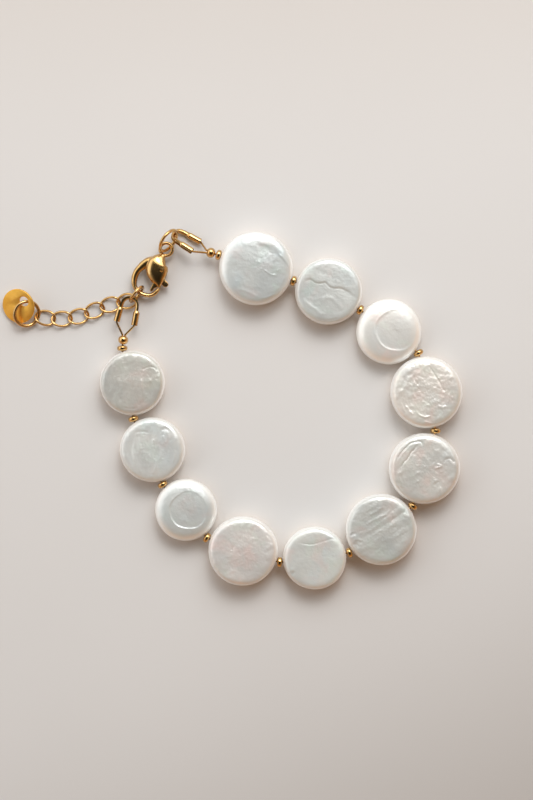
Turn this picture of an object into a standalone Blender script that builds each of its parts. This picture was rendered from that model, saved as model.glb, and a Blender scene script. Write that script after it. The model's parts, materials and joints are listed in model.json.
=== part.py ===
import math
from collections import namedtuple

import bmesh
import bpy
from mathutils import Matrix, Vector

# Pearl bracelet lying flat on a table, built in millimetres and written in metres.
# The loop starts at the clasp, runs clockwise through the pearls and comes back to the clasp.
MM = 0.001

# Coin pearls.
Pearl = namedtuple("Pearl", "name share turn drill_offset")
# share: diameter as a share of the usual pearl's.
# turn: degrees the string swings clockwise at the spacer before the pearl.
# drill_offset: how far the pearl sits to the outside of its own hole.
PEARL_DIAMETER = 12.0
PEARLS = [
    Pearl("pearl_01", 1.071, 3.6, -0.1),
    Pearl("pearl_02", 0.971, 4.3, 0.75),
    Pearl("pearl_03", 0.95, 13.1, -0.1),
    Pearl("pearl_04", 1.05, 41.1, -0.15),
    Pearl("pearl_05", 1.0375, 29.2, 0.0),
    Pearl("pearl_06", 1.0375, 36.9, 0.0),
    Pearl("pearl_07", 0.921, 28.6, 0.1),
    Pearl("pearl_08", 1.0125, 26.4, 0.15),
    Pearl("pearl_09", 0.904, 31.8, -0.3),
    Pearl("pearl_10", 0.95, 15.7, -0.85),
    Pearl("pearl_11", 0.946, 15.0, -0.8),
]
PEARL_SIDES = 16
PEARL_THICKNESS_SHARE = 0.36
PEARL_HOLE = 0.8
PEARL_DRILL_REACH = 1.2
PEARL_HOLE_SIDES = 8
# Outline of half a pearl from its flat face to its rim, as shares of radius and half thickness.
PEARL_PROFILE = [(0.56, 1.0), (0.79, 0.93), (0.93, 0.67), (1.0, 0.26)]

# Small gold beads on the string.
SPACER_DIAMETER = 1.85
SPACER_LENGTH = 1.1
SPACER_HOLE = 0.9
CRIMP_DIAMETER = 1.8
CRIMP_LENGTH = 1.55
CRIMP_HOLE = 1.1
BEAD_SIDES = 12
BEAD_END_SHARE = 0.72
BEAD_SHOULDER_SHARE = 0.55
STRING_GAP = 0.06
CLASP_SIDE_TURN = 15.1

# Beading wire.
WIRE_DIAMETER = 0.38
WIRE_SIDES = 6
STRAND_OFFSET = 0.24
STRAND_REACH = 0.12
STRAND_TAIL_SHARE = 0.3

# Wire guards, the small horseshoes the wire turns back in.
GUARD_TUBE_START = 1.85
GUARD_TUBE_LENGTH = 2.15
GUARD_TUBE_DIAMETER = 1.14
GUARD_TUBE_HOLE = 0.6
GUARD_HALF_WIDTH = 1.58
GUARD_BOW_RADIUS = 1.4
GUARD_CHANNEL_GAP = 0.08
GUARD_SHEET = 0.1
GUARD_SEAM_ANGLE = 170.0
GUARD_CHANNEL_ANGLE = 95.0
GUARD_SECTION_STEPS = 6
GUARD_BOW_STEPS = 8
GUARD_STEP_LENGTH = 0.15
Guard = namedtuple("Guard", "to_crimp turn crimp_turn roll")
# turn: from the guard to the bare wire; crimp_turn: from the bare wire to the crimp bead.
GUARD_A = Guard(2.82, 7.5, 7.9, -45.0)
GUARD_B = Guard(2.95, 5.3, 1.5, 0.0)

# First guess for the heading of the first guard, and how the string is bent until it closes.
START_HEADING = -31.0
CLOSING_ROUNDS = 12
CLOSING_STEP = 0.01

# Lobster clasp; x runs from the eye to the hook, y to the thumb side.
CLASP_HEADING = 247.0
CLASP_MID_HEIGHT = 1.36
EYE_HOLE = 1.6
EYE_RIM_WIDTH = 0.45
EYE_RIM_HEIGHT = 0.72
EYE_CENTRE = (0.2, -0.15)
Station = namedtuple("Station", "x y half_width half_height")
CLASP_BULB = [
    Station(1.2, -0.2, 0.38, 0.4),
    Station(1.55, -0.28, 0.64, 0.6),
    Station(2.0, -0.4, 1.05, 0.88),
    Station(2.5, -0.5, 1.42, 1.1),
    Station(3.1, -0.56, 1.76, 1.25),
    Station(3.8, -0.42, 1.9, 1.3),
    Station(4.4, -0.2, 1.92, 1.3),
    Station(5.0, 0.12, 1.74, 1.26),
    Station(5.6, 0.5, 1.38, 1.14),
    Station(6.1, 0.88, 0.92, 0.96),
    Station(6.5, 1.14, 0.45, 0.76),
    Station(6.68, 1.26, 0.2, 0.6),
]
CLASP_HOOK = [
    Station(2.3, -1.0, 0.5, 0.55),
    Station(2.9, -1.75, 0.62, 0.62),
    Station(3.6, -2.35, 0.72, 0.64),
    Station(4.4, -2.8, 0.72, 0.64),
    Station(5.1, -3.12, 0.62, 0.64),
    Station(5.8, -3.34, 0.51, 0.64),
    Station(6.7, -3.35, 0.48, 0.63),
    Station(7.6, -3.12, 0.46, 0.61),
    Station(8.35, -2.65, 0.44, 0.59),
    Station(8.85, -1.9, 0.42, 0.57),
    Station(9.03, -1.1, 0.4, 0.56),
    Station(8.99, -0.35, 0.39, 0.54),
    Station(8.77, 0.35, 0.38, 0.52),
    Station(8.32, 0.87, 0.38, 0.5),
    Station(7.75, 1.18, 0.36, 0.46),
    Station(7.3, 1.3, 0.24, 0.34),
]
CLASP_SECTION_SIDES = 10
HOOK_SECTION_SIDES = 8
LEVER_THICKNESS = 0.8
LEVER_SLOT = 1.04
LEVER_SLOT_MARGIN = 0.2
SLOT_CORNER_STEPS = 8
LEVER_PIVOT = (3.9, 0.6)
LEVER_OPEN_ANGLE = 16.0
LEVER_ANGLE_MARGIN = 1.0
PIN_DIAMETER = 0.6
PIN_HOLE = 0.8
PIN_SIDES = 10
PIN_INSET = 0.06
# Outline of the lever, from the hub along the gate to its tip and back over the thumb nub.
LEVER_OUTLINE = [
    (3.75, -0.12),
    (4.3, -0.14),
    (5.2, -0.08),
    (6.2, 0.04),
    (7.1, 0.04),
    (7.8, 0.0),
    (8.05, 0.2),
    (7.9, 0.46),
    (7.3, 0.62),
    (6.9, 1.05),
    (6.5, 1.2),
    (6.2, 1.5),
    (6.38, 1.95),
    (6.38, 2.3),
    (6.15, 2.6),
    (5.8, 2.66),
    (5.5, 2.42),
    (5.3, 1.95),
    (4.9, 1.6),
    (4.15, 1.4),
    (3.5, 1.22),
    (3.2, 0.8),
    (3.22, 0.25),
]

# Round rings.
RING_SIDES = 16
RING_SECTION_SIDES = 6
EYE_RING_DIAMETER = 4.78
EYE_RING_WIRE = 0.58
EYE_RING_HEADING = 233.6
EYE_RING_TILT = 66.2
EYE_RING_AT_EYE = -41.0
EYE_RING_SLACK = 0.19
EYE_RING_AT_GUARD = 216.0
HOOK_RING_DIAMETER = 3.8
HOOK_RING_WIRE = 0.54
HOOK_RING_HEADING = 230.3
HOOK_RING_TILT = 80.0
HOOK_RING_SPOT = (7.9, -1.35)
HOOK_RING_AT_GUARD = 10.0
HOOK_RING_AT_CHAIN = -46.0
TAG_RING_DIAMETER = 5.0
TAG_RING_WIRE = 0.62

# Extension chain.
LINK_LENGTH = 3.94
LINK_WIDTH = 2.95
LINK_WIRE = 0.38
LINK_TWIST = 0.36
LINK_SLACK = 0.2
RING_GAP = 0.08
Link = namedtuple("Link", "name heading pitch roll lift")
LINKS = [
    Link("chain_link_1", 188.5, 10.0, 0.0, 0.04),
    Link("chain_link_2", 195.6, 0.0, 0.0, 0.0),
    Link("chain_link_3", 205.0, 0.0, 0.0, 0.0),
    Link("chain_link_4", 195.0, 0.0, 0.0, 0.0),
    Link("chain_link_5", 182.0, 0.0, 0.0, 0.0),
    Link("chain_link_6", 171.0, -6.6, 10.5, 0.07),
]

# End tag.
TAG_DIAMETER = 6.1
TAG_THICKNESS = 0.4
TAG_SIDES = 24
TAG_HOLE = 1.8
TAG_HOLE_SIDES = 12
TAG_HOLE_OUT = 1.45
TAG_TILT = 27.0
TAG_RISE_HEADING = 36.7
TAG_RING_HEADING = 233.3
TAG_RING_TILT = 25.1
TAG_RING_AT_CHAIN = -113.0
TAG_RING_IN_LINK = (1.16, -0.12, 0.076)
TAG_RING_AT_TAG = 130.0
TAG_RING_SLACK = 0.08


def direction(heading):
    """Flat unit vector for a heading in degrees, counted from +X towards +Y."""
    angle = math.radians(heading)
    return Vector((math.cos(angle), math.sin(angle), 0.0))


def clear_scene():
    """Remove what the scene holds."""
    for found in list(bpy.data.objects):
        bpy.data.objects.remove(found, do_unlink=True)


def make_material(name, color, metallic, roughness):
    """A plain principled material."""
    material = bpy.data.materials.new(name)
    material.use_nodes = True
    shader = material.node_tree.nodes["Principled BSDF"]
    shader.inputs["Base Color"].default_value = (*color, 1.0)
    shader.inputs["Metallic"].default_value = metallic
    shader.inputs["Roughness"].default_value = roughness
    return material


def add_object(name, points, faces, material, smooth=True):
    """Turn points in millimetres and faces into a closed mesh object."""
    mesh = bpy.data.meshes.new(name)
    mesh.from_pydata([tuple(point * MM) for point in points], [], faces)
    work = bmesh.new()
    work.from_mesh(mesh)
    bmesh.ops.recalc_face_normals(work, faces=work.faces)
    work.to_mesh(mesh)
    work.free()
    for polygon in mesh.polygons:
        polygon.use_smooth = smooth
    made = bpy.data.objects.new(name, mesh)
    bpy.context.scene.collection.objects.link(made)
    if material is not None:
        mesh.materials.append(material)
    return made


def as_cutter(made):
    """Keep a helper body out of renders."""
    made.hide_render = True
    made.display_type = "WIRE"
    return made


def combine(target, other, operation):
    """Join another body into the target or cut it away, then drop the other body."""
    modifier = target.modifiers.new("combine", "BOOLEAN")
    modifier.operation = operation
    modifier.solver = "EXACT"
    modifier.object = other
    bpy.context.view_layer.update()
    graph = bpy.context.evaluated_depsgraph_get()
    result = bpy.data.meshes.new_from_object(target.evaluated_get(graph))
    target.modifiers.clear()
    target.data = result
    bpy.data.objects.remove(other, do_unlink=True)


def ring_faces(rings, sides, closed_along):
    """Quads between neighbouring rings of points."""
    faces = []
    spans = rings if closed_along else rings - 1
    for ring in range(spans):
        after = (ring + 1) % rings
        for side in range(sides):
            beside = (side + 1) % sides
            faces.append((ring * sides + side, ring * sides + beside,
                          after * sides + beside, after * sides + side))
    return faces


def end_caps(rings, sides):
    """One face over the first and the last ring of points."""
    first = tuple(range(sides))
    last = tuple((rings - 1) * sides + side for side in range(sides))
    return [first, last]


def sweep(name, path, widths, heights, sides, material, up=None, closed=False):
    """An oval section carried along a path; up fixes which way the height points."""
    points = []
    count = len(path)
    frame_up = up
    for index, spot in enumerate(path):
        before = path[index - 1] if index > 0 or closed else path[0]
        after = path[(index + 1) % count] if index < count - 1 or closed else path[-1]
        along = (after - before).normalized()
        if up is None:
            if frame_up is None:
                frame_up = Vector((0.0, 0.0, 1.0))
                if abs(along.z) > 0.9:
                    frame_up = Vector((1.0, 0.0, 0.0))
            frame_up = (frame_up - along * frame_up.dot(along)).normalized()
        side_way = frame_up.cross(along).normalized()
        top_way = along.cross(side_way)
        for side in range(sides):
            angle = math.tau * (side + 0.5) / sides
            points.append(spot + side_way * widths[index] * math.cos(angle)
                          + top_way * heights[index] * math.sin(angle))
    faces = ring_faces(count, sides, closed)
    if not closed:
        faces += end_caps(count, sides)
    return add_object(name, points, faces, material)


def lathe(name, profile, sides, frame, material):
    """Turn a closed profile of (along, radius) points around the X axis of a frame."""
    points = []
    for along, radius in profile:
        for side in range(sides):
            angle = math.tau * side / sides
            local = Vector((along, radius * math.cos(angle), radius * math.sin(angle)))
            points.append(frame @ local)
    return add_object(name, points, ring_faces(len(profile), sides, True), material)


def rod(name, start, end, radius, sides, material):
    """A straight round bar between two points."""
    return sweep(name, [start, end], [radius] * 2, [radius] * 2, sides, material)


def frame_at(spot, along, roll=0.0):
    """Frame whose X runs along a direction, level sideways and then rolled about X."""
    x_way = along.normalized()
    y_way = Vector((0.0, 0.0, 1.0)).cross(x_way).normalized()
    z_way = x_way.cross(y_way)
    frame = Matrix((x_way, y_way, z_way)).transposed().to_4x4()
    frame = frame @ Matrix.Rotation(math.radians(roll), 4, "X")
    frame.translation = spot
    return frame


def bead_profile(length, diameter, hole):
    """Half outline of a small rounded bead, from hole edge to hole edge."""
    half = length / 2
    radius = diameter / 2
    return [
        (-half, hole / 2),
        (-half, radius * BEAD_END_SHARE),
        (-half * BEAD_SHOULDER_SHARE, radius),
        (half * BEAD_SHOULDER_SHARE, radius),
        (half, radius * BEAD_END_SHARE),
        (half, hole / 2),
    ]


def bead_reach(profile, swing):
    """How far a bead reaches along the string when it is swung by an angle."""
    angle = math.radians(swing)
    return max(along * math.cos(angle) + radius * math.sin(angle) for along, radius in profile)


def pearl_width(pearl):
    """Diameter of a pearl."""
    return PEARL_DIAMETER * pearl.share


def pearl_mouth(pearl):
    """Distance from the middle of a pearl to the flat where its hole comes out."""
    return pearl_width(pearl) / 2 * math.cos(math.pi / PEARL_SIDES)


def string_height():
    """Height of the string, half the mean thickness of the pearls."""
    mean = sum(pearl_width(pearl) for pearl in PEARLS) / len(PEARLS)
    return mean * PEARL_THICKNESS_SHARE / 2


def walk_string(crimp_start, heading, extra_turn):
    """Lay beads one after the other; returns pearl and bead places and the end of the string."""
    spacer = bead_profile(SPACER_LENGTH, SPACER_DIAMETER, SPACER_HOLE)
    crimp_room = CRIMP_LENGTH / 2 + STRING_GAP
    swing = PEARLS[0].turn + extra_turn
    spot = crimp_start + direction(heading) * (crimp_room + bead_reach(spacer, abs(swing) / 2))
    beads = []
    pearls = []
    next_turns = [pearl.turn for pearl in PEARLS[1:]] + [CLASP_SIDE_TURN]
    for pearl, next_turn in zip(PEARLS, next_turns):
        beads.append((spot, heading - swing / 2))
        heading -= swing
        step = bead_reach(spacer, abs(swing) / 2) + STRING_GAP + pearl_mouth(pearl)
        middle = spot + direction(heading) * step
        pearls.append((middle, heading))
        swing = next_turn + extra_turn
        reach = bead_reach(spacer, abs(swing) / 2)
        spot = middle + direction(heading) * (pearl_mouth(pearl) + STRING_GAP + reach)
    beads.append((spot, heading - swing / 2))
    heading -= swing
    crimp_end = spot + direction(heading) * (crimp_room + bead_reach(spacer, abs(swing) / 2))
    return pearls, beads, crimp_end, heading


def guard_path():
    """Middle line of a guard in its own frame, x towards the crimp, seat at the origin."""
    bow_middle = GUARD_BOW_RADIUS - seat_reach()
    flare = (GUARD_HALF_WIDTH - GUARD_BOW_RADIUS) / (GUARD_TUBE_START + GUARD_TUBE_LENGTH)
    points = []
    for x in (GUARD_TUBE_START + GUARD_TUBE_LENGTH, GUARD_TUBE_START,
              GUARD_TUBE_START - GUARD_STEP_LENGTH):
        points.append((x, GUARD_BOW_RADIUS + flare * x))
    for step in range(GUARD_BOW_STEPS + 1):
        angle = math.pi / 2 + math.pi * step / GUARD_BOW_STEPS
        points.append((bow_middle + GUARD_BOW_RADIUS * math.cos(angle),
                       GUARD_BOW_RADIUS * math.sin(angle)))
    points += [(x, -y) for x, y in reversed(points[:3])]
    return points


def channel_radius():
    """Outer radius of the open channel round the wire."""
    return WIRE_DIAMETER / 2 + GUARD_CHANNEL_GAP + GUARD_SHEET


def seat_reach():
    """How far the middle of the bow lies beyond the ring wire that pulls on it."""
    return EYE_RING_WIRE / 2 + RING_GAP + channel_radius()


def make_guard(name, frame, material):
    """Two seamed tubes joined by a bow that is an open channel on its outside."""
    path = guard_path()
    count = len(path)
    tube = (GUARD_TUBE_HOLE / 2, GUARD_TUBE_DIAMETER / 2, GUARD_SEAM_ANGLE)
    channel = (WIRE_DIAMETER / 2 + GUARD_CHANNEL_GAP, channel_radius(), GUARD_CHANNEL_ANGLE)
    points = []
    for index, (x, y) in enumerate(path):
        before = Vector(path[max(index - 1, 0)])
        after = Vector(path[min(index + 1, count - 1)])
        along = (after - before).normalized()
        inward = Vector((-along.y, along.x))
        on_tube = index < 2 or index > count - 3
        inner, outer, reach = tube if on_tube else channel
        section = []
        for step in range(GUARD_SECTION_STEPS + 1):
            angle = math.radians(-reach + 2 * reach * step / GUARD_SECTION_STEPS)
            section.append((math.cos(angle), math.sin(angle)))
        ring = [(a * outer, b * outer) for a, b in section]
        ring += [(a * inner, b * inner) for a, b in reversed(section)]
        for flat, rise in ring:
            local = Vector((x + inward.x * flat, y + inward.y * flat, rise))
            points.append(frame @ local)
    sides = 2 * (GUARD_SECTION_STEPS + 1)
    faces = ring_faces(count, sides, False)
    for base in (0, (count - 1) * sides):
        for step in range(GUARD_SECTION_STEPS):
            far = sides - 1 - step
            faces.append((base + step, base + step + 1, base + far - 1, base + far))
    return add_object(name, points, faces, material)


def make_pearl(pearl, middle, heading, material):
    """A coin pearl with flat faces, lying on the table, drilled from rim to rim."""
    radius = pearl_width(pearl) / 2
    half = pearl_width(pearl) * PEARL_THICKNESS_SHARE / 2
    outward = direction(heading + 90.0)
    centre = Vector((middle.x, middle.y, half)) + outward * pearl.drill_offset
    levels = PEARL_PROFILE + [(share, -rise) for share, rise in reversed(PEARL_PROFILE)]
    points = []
    for share, rise in levels:
        for side in range(PEARL_SIDES):
            way = direction(heading + 360.0 * (side + 0.5) / PEARL_SIDES)
            points.append(centre + way * radius * share + Vector((0.0, 0.0, half * rise)))
    faces = ring_faces(len(levels), PEARL_SIDES, False) + end_caps(len(levels), PEARL_SIDES)
    body = add_object(pearl.name, points, faces, material)
    reach = direction(heading) * radius * PEARL_DRILL_REACH
    at_string = Vector((middle.x, middle.y, string_height()))
    drill = rod(pearl.name + "_drill", at_string - reach, at_string + reach,
                PEARL_HOLE / 2, PEARL_HOLE_SIDES, None)
    combine(body, as_cutter(drill), "DIFFERENCE")
    return body


def ring_frame(centre, heading, tilt):
    """Frame of a leaning ring: X level, Y leaning up to its left when seen from above."""
    level = direction(heading)
    lean = direction(heading - 90.0) * math.cos(math.radians(tilt))
    lean.z = math.sin(math.radians(tilt))
    frame = Matrix((level, lean, level.cross(lean))).transposed().to_4x4()
    frame.translation = centre
    return frame


def ring_spot(radius, angle):
    """Point of a ring in its own frame."""
    turn = math.radians(angle)
    return Vector((radius * math.cos(turn), radius * math.sin(turn), 0.0))


def make_ring(name, frame, diameter, wire, material):
    """A closed round wire ring."""
    radius = (diameter - wire) / 2
    path = [frame @ ring_spot(radius, 360.0 * step / RING_SIDES) for step in range(RING_SIDES)]
    half = [wire / 2] * RING_SIDES
    up = frame.to_3x3() @ Vector((0.0, 0.0, 1.0))
    return sweep(name, path, half, half, RING_SECTION_SIDES, material, up, True)


def link_spot(angle):
    """Point on the twisted oval of a curb link in its own frame."""
    turn = math.radians(angle)
    return Vector(((LINK_LENGTH - LINK_WIRE) / 2 * math.cos(turn),
                   (LINK_WIDTH - LINK_WIRE) / 2 * math.sin(turn),
                   LINK_TWIST * math.sin(2 * turn)))


def link_frame(centre, link):
    """Frame of a link: X along the chain, pitched down and rolled."""
    turned = Matrix.Rotation(math.radians(link.heading), 4, "Z")
    pitched = Matrix.Rotation(math.radians(link.pitch), 4, "Y")
    rolled = Matrix.Rotation(math.radians(link.roll), 4, "X")
    frame = turned @ pitched @ rolled
    frame.translation = centre
    return frame


def rest_height(link):
    """Height of a link's middle when its lowest point touches the table."""
    turned = link_frame(Vector(), link)
    lowest = min((turned @ link_spot(360.0 * step / RING_SIDES)).z for step in range(RING_SIDES))
    return LINK_WIRE / 2 - lowest


def make_link(link, centre, material):
    """One twisted oval link."""
    frame = link_frame(centre, link)
    path = [frame @ link_spot(360.0 * step / RING_SIDES) for step in range(RING_SIDES)]
    half = [LINK_WIRE / 2] * RING_SIDES
    return sweep(link.name, path, half, half, RING_SECTION_SIDES, material, None, True)


def clasp_frame():
    """Frame of the clasp, with the middle of its thickness at z = 0."""
    frame = Matrix.Rotation(math.radians(CLASP_HEADING), 4, "Z")
    frame.translation = Vector((0.0, 0.0, CLASP_MID_HEIGHT))
    return frame


def stations_sweep(name, stations, sides, frame, material):
    """A solid with oval sections through a row of stations lying in the clasp's plane."""
    path = [frame @ Vector((station.x, station.y, 0.0)) for station in stations]
    widths = [station.half_width for station in stations]
    heights = [station.half_height for station in stations]
    return sweep(name, path, widths, heights, sides, material, Vector((0.0, 0.0, 1.0)))


def plate(name, outline, thickness, frame, material):
    """A flat plate of a given outline centred on z = 0 of a frame."""
    points = []
    for level in (-thickness / 2, thickness / 2):
        points += [frame @ Vector((x, y, level)) for x, y in outline]
    count = len(outline)
    faces = ring_faces(2, count, False) + end_caps(2, count)
    return add_object(name, points, faces, material, False)


def swept_outline():
    """Room the lever needs in the clasp: its outline with a margin, in every position."""
    pivot = Vector(LEVER_PIVOT)
    spots = []
    for opened in (0.0, LEVER_OPEN_ANGLE / 2, LEVER_OPEN_ANGLE + LEVER_ANGLE_MARGIN):
        turn = Matrix.Rotation(math.radians(-opened), 2)
        for corner in LEVER_OUTLINE:
            spots.append(pivot + turn @ (Vector(corner) - pivot))
    return spots


def make_clasp(frame, material):
    """Bulb with a slot, hook and eye in one body; returns body, lever and pin."""
    bulb = stations_sweep("clasp_body", CLASP_BULB, CLASP_SECTION_SIDES, frame, material)
    slot = slot_cutter(frame)
    combine(bulb, as_cutter(slot), "DIFFERENCE")
    hook = stations_sweep("hook", CLASP_HOOK, HOOK_SECTION_SIDES, frame, material)
    combine(bulb, as_cutter(hook), "UNION")
    rim_radius = (EYE_HOLE + EYE_RIM_WIDTH) / 2
    rim_path = []
    for step in range(RING_SIDES):
        spot = ring_spot(rim_radius, 360.0 * step / RING_SIDES)
        rim_path.append(frame @ (Vector((*EYE_CENTRE, 0.0)) + spot))
    rim = sweep("eye", rim_path, [EYE_RIM_WIDTH / 2] * RING_SIDES,
                [EYE_RIM_HEIGHT / 2] * RING_SIDES, HOOK_SECTION_SIDES, material,
                Vector((0.0, 0.0, 1.0)), True)
    combine(bulb, as_cutter(rim), "UNION")
    pivot = Vector((LEVER_PIVOT[0], LEVER_PIVOT[1], 0.0))
    rise = Vector((0.0, 0.0, CLASP_MID_HEIGHT * 2))
    bore = rod("pin_bore", frame @ (pivot - rise), frame @ (pivot + rise),
               PIN_HOLE / 2, PIN_SIDES, None)
    combine(bulb, as_cutter(bore), "DIFFERENCE")
    lever = plate("clasp_lever", LEVER_OUTLINE, LEVER_THICKNESS, frame, material)
    bore = rod("lever_bore", frame @ (pivot - rise), frame @ (pivot + rise),
               PIN_HOLE / 2, PIN_SIDES, None)
    combine(lever, as_cutter(bore), "DIFFERENCE")
    half = bulb_half_height(LEVER_PIVOT) - PIN_INSET
    reach = Vector((0.0, 0.0, half))
    pin = rod("clasp_pin", frame @ (pivot - reach), frame @ (pivot + reach),
              PIN_DIAMETER / 2, PIN_SIDES, material)
    move_origin(lever, frame @ pivot)
    return [bulb, lever, pin]


def bulb_half_height(spot):
    """Half thickness of the bulb at a point of the clasp's plane."""
    for first, second in zip(CLASP_BULB, CLASP_BULB[1:]):
        if first.x <= spot[0] <= second.x:
            share = (spot[0] - first.x) / (second.x - first.x)
            height = first.half_height + share * (second.half_height - first.half_height)
            width = first.half_width + share * (second.half_width - first.half_width)
            side = first.y + share * (second.y - first.y)
            off = min(abs(spot[1] - side) / width, 1.0)
            return height * math.sqrt(1.0 - off * off)
    return CLASP_BULB[0].half_height


def slot_cutter(frame):
    """Slot through the bulb that leaves room for the lever in every position."""
    work = bmesh.new()
    for spot in swept_outline():
        for step in range(SLOT_CORNER_STEPS):
            way = direction(360.0 * step / SLOT_CORNER_STEPS) * LEVER_SLOT_MARGIN
            for level in (-LEVER_SLOT / 2, LEVER_SLOT / 2):
                local = Vector((spot.x + way.x, spot.y + way.y, level))
                work.verts.new((frame @ local) * MM)
    hull = bmesh.ops.convex_hull(work, input=work.verts)
    bmesh.ops.delete(work, geom=hull["geom_interior"], context="VERTS")
    bmesh.ops.recalc_face_normals(work, faces=work.faces)
    mesh = bpy.data.meshes.new("lever_slot")
    work.to_mesh(mesh)
    work.free()
    made = bpy.data.objects.new("lever_slot", mesh)
    bpy.context.scene.collection.objects.link(made)
    return made


def move_origin(made, spot):
    """Put an object's origin on a point without moving its shape."""
    made.data.transform(Matrix.Translation(-spot * MM))
    made.location = spot * MM


def make_tag(centre, heading, tilt, material):
    """The round end tag, pierced near its raised edge."""
    turned = Matrix.Rotation(math.radians(heading), 4, "Z")
    frame = turned @ Matrix.Rotation(math.radians(-tilt), 4, "Y")
    frame.translation = centre
    outline = []
    for step in range(TAG_SIDES):
        way = direction(360.0 * step / TAG_SIDES) * TAG_DIAMETER / 2
        outline.append((way.x, way.y))
    tag = plate("end_tag", outline, TAG_THICKNESS, frame, material)
    hole_spot = Vector((TAG_HOLE_OUT, 0.0, 0.0))
    reach = Vector((0.0, 0.0, TAG_THICKNESS * 2))
    bore = rod("tag_bore", frame @ (hole_spot - reach), frame @ (hole_spot + reach),
               TAG_HOLE / 2, TAG_HOLE_SIDES, None)
    combine(tag, as_cutter(bore), "DIFFERENCE")
    return tag


def strand(guard, crimp_spot, crimp_along, first_side):
    """Wire turned back through a guard, from the crimp round the bow to the crimp again."""
    side_way = Vector((-crimp_along.y, crimp_along.x, 0.0))
    mouth = CRIMP_LENGTH / 2
    tail = mouth * STRAND_TAIL_SHARE
    points = []
    for along in (tail, -mouth - STRAND_REACH):
        points.append(crimp_spot + crimp_along * along + side_way * first_side * STRAND_OFFSET)
    path = guard_path()
    if first_side < 0:
        path = list(reversed(path))
    entry = Vector((STRAND_REACH, 0.0))
    row = [Vector(spot) for spot in path]
    row[0] = row[0] + entry
    row[-1] = row[-1] + entry
    points += [guard @ Vector((spot.x, spot.y, 0.0)) for spot in row]
    for along in (-mouth - STRAND_REACH, tail):
        points.append(crimp_spot + crimp_along * along - side_way * first_side * STRAND_OFFSET)
    points.append(crimp_spot + crimp_along * mouth)
    return points


def build():
    """Make every piece of the bracelet."""
    clear_scene()
    gold = make_material("gold", (0.83, 0.56, 0.22), 1.0, 0.18)
    brushed = make_material("satin_gold", (0.72, 0.47, 0.16), 1.0, 0.4)
    nacre = make_material("nacre", (0.86, 0.84, 0.82), 0.0, 0.22)
    made = []

    # clasp with its eye at the start
    clasp = clasp_frame()
    made += make_clasp(clasp, gold)

    # ring through the clasp's eye, leaning over it
    eye_radius = (EYE_RING_DIAMETER - EYE_RING_WIRE) / 2
    turned = ring_frame(Vector(), EYE_RING_HEADING, EYE_RING_TILT)
    eye = clasp @ Vector((*EYE_CENTRE, 0.0))
    eye_centre = eye - turned @ ring_spot(eye_radius - EYE_RING_SLACK, EYE_RING_AT_EYE)
    eye_frame = ring_frame(eye_centre, EYE_RING_HEADING, EYE_RING_TILT)
    made.append(make_ring("eye_ring", eye_frame, EYE_RING_DIAMETER, EYE_RING_WIRE, gold))
    seat_a = eye_frame @ ring_spot(eye_radius, EYE_RING_AT_GUARD)

    # ring held by the hook
    hook_radius = (HOOK_RING_DIAMETER - HOOK_RING_WIRE) / 2
    hook_spot = clasp @ Vector((HOOK_RING_SPOT[0], HOOK_RING_SPOT[1], 0.0))
    hook_centre = hook_spot + direction(HOOK_RING_HEADING) * hook_radius
    lift = math.sin(math.radians(HOOK_RING_TILT))
    hook_centre.z = HOOK_RING_WIRE / 2 + hook_radius * lift
    hook_frame = ring_frame(hook_centre, HOOK_RING_HEADING, HOOK_RING_TILT)
    made.append(make_ring("hook_ring", hook_frame, HOOK_RING_DIAMETER, HOOK_RING_WIRE, gold))
    seat_b = hook_frame @ ring_spot(hook_radius, HOOK_RING_AT_GUARD)

    # string of pearls, swung and bent until it ends at the hook's ring
    level = string_height()
    start_heading, extra_turn = close_loop(seat_a, seat_b, level)
    string = string_layout(seat_a, start_heading, extra_turn, level)
    for pearl, (middle, heading) in zip(PEARLS, string["pearls"]):
        made.append(make_pearl(pearl, middle, heading, nacre))
    spacer = bead_profile(SPACER_LENGTH, SPACER_DIAMETER, SPACER_HOLE)
    for index, (spot, heading) in enumerate(string["beads"]):
        spot = Vector((spot.x, spot.y, level))
        name = "spacer_{:02d}".format(index + 1)
        made.append(lathe(name, spacer, BEAD_SIDES, frame_at(spot, direction(heading)), gold))
    crimp = bead_profile(CRIMP_LENGTH, CRIMP_DIAMETER, CRIMP_HOLE)
    for name, end in (("crimp_bead_1", "start"), ("crimp_bead_2", "end")):
        spot, along = string[end]
        made.append(lathe(name, crimp, BEAD_SIDES, frame_at(spot, along), gold))
    made.append(make_guard("wire_guard_1", string["guard_a"], gold))
    made.append(make_guard("wire_guard_2", string["guard_b"], gold))
    made.append(make_wire(string, level, gold))

    # extension chain hanging on the hook's ring
    chain_pull = hook_frame @ ring_spot(hook_radius, HOOK_RING_AT_CHAIN)
    centres = chain_layout(chain_pull)
    for link, centre in zip(LINKS, centres):
        made.append(make_link(link, centre, gold))
    made += make_tag_end(centres[-1], gold, brushed)

    settle(made)


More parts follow.
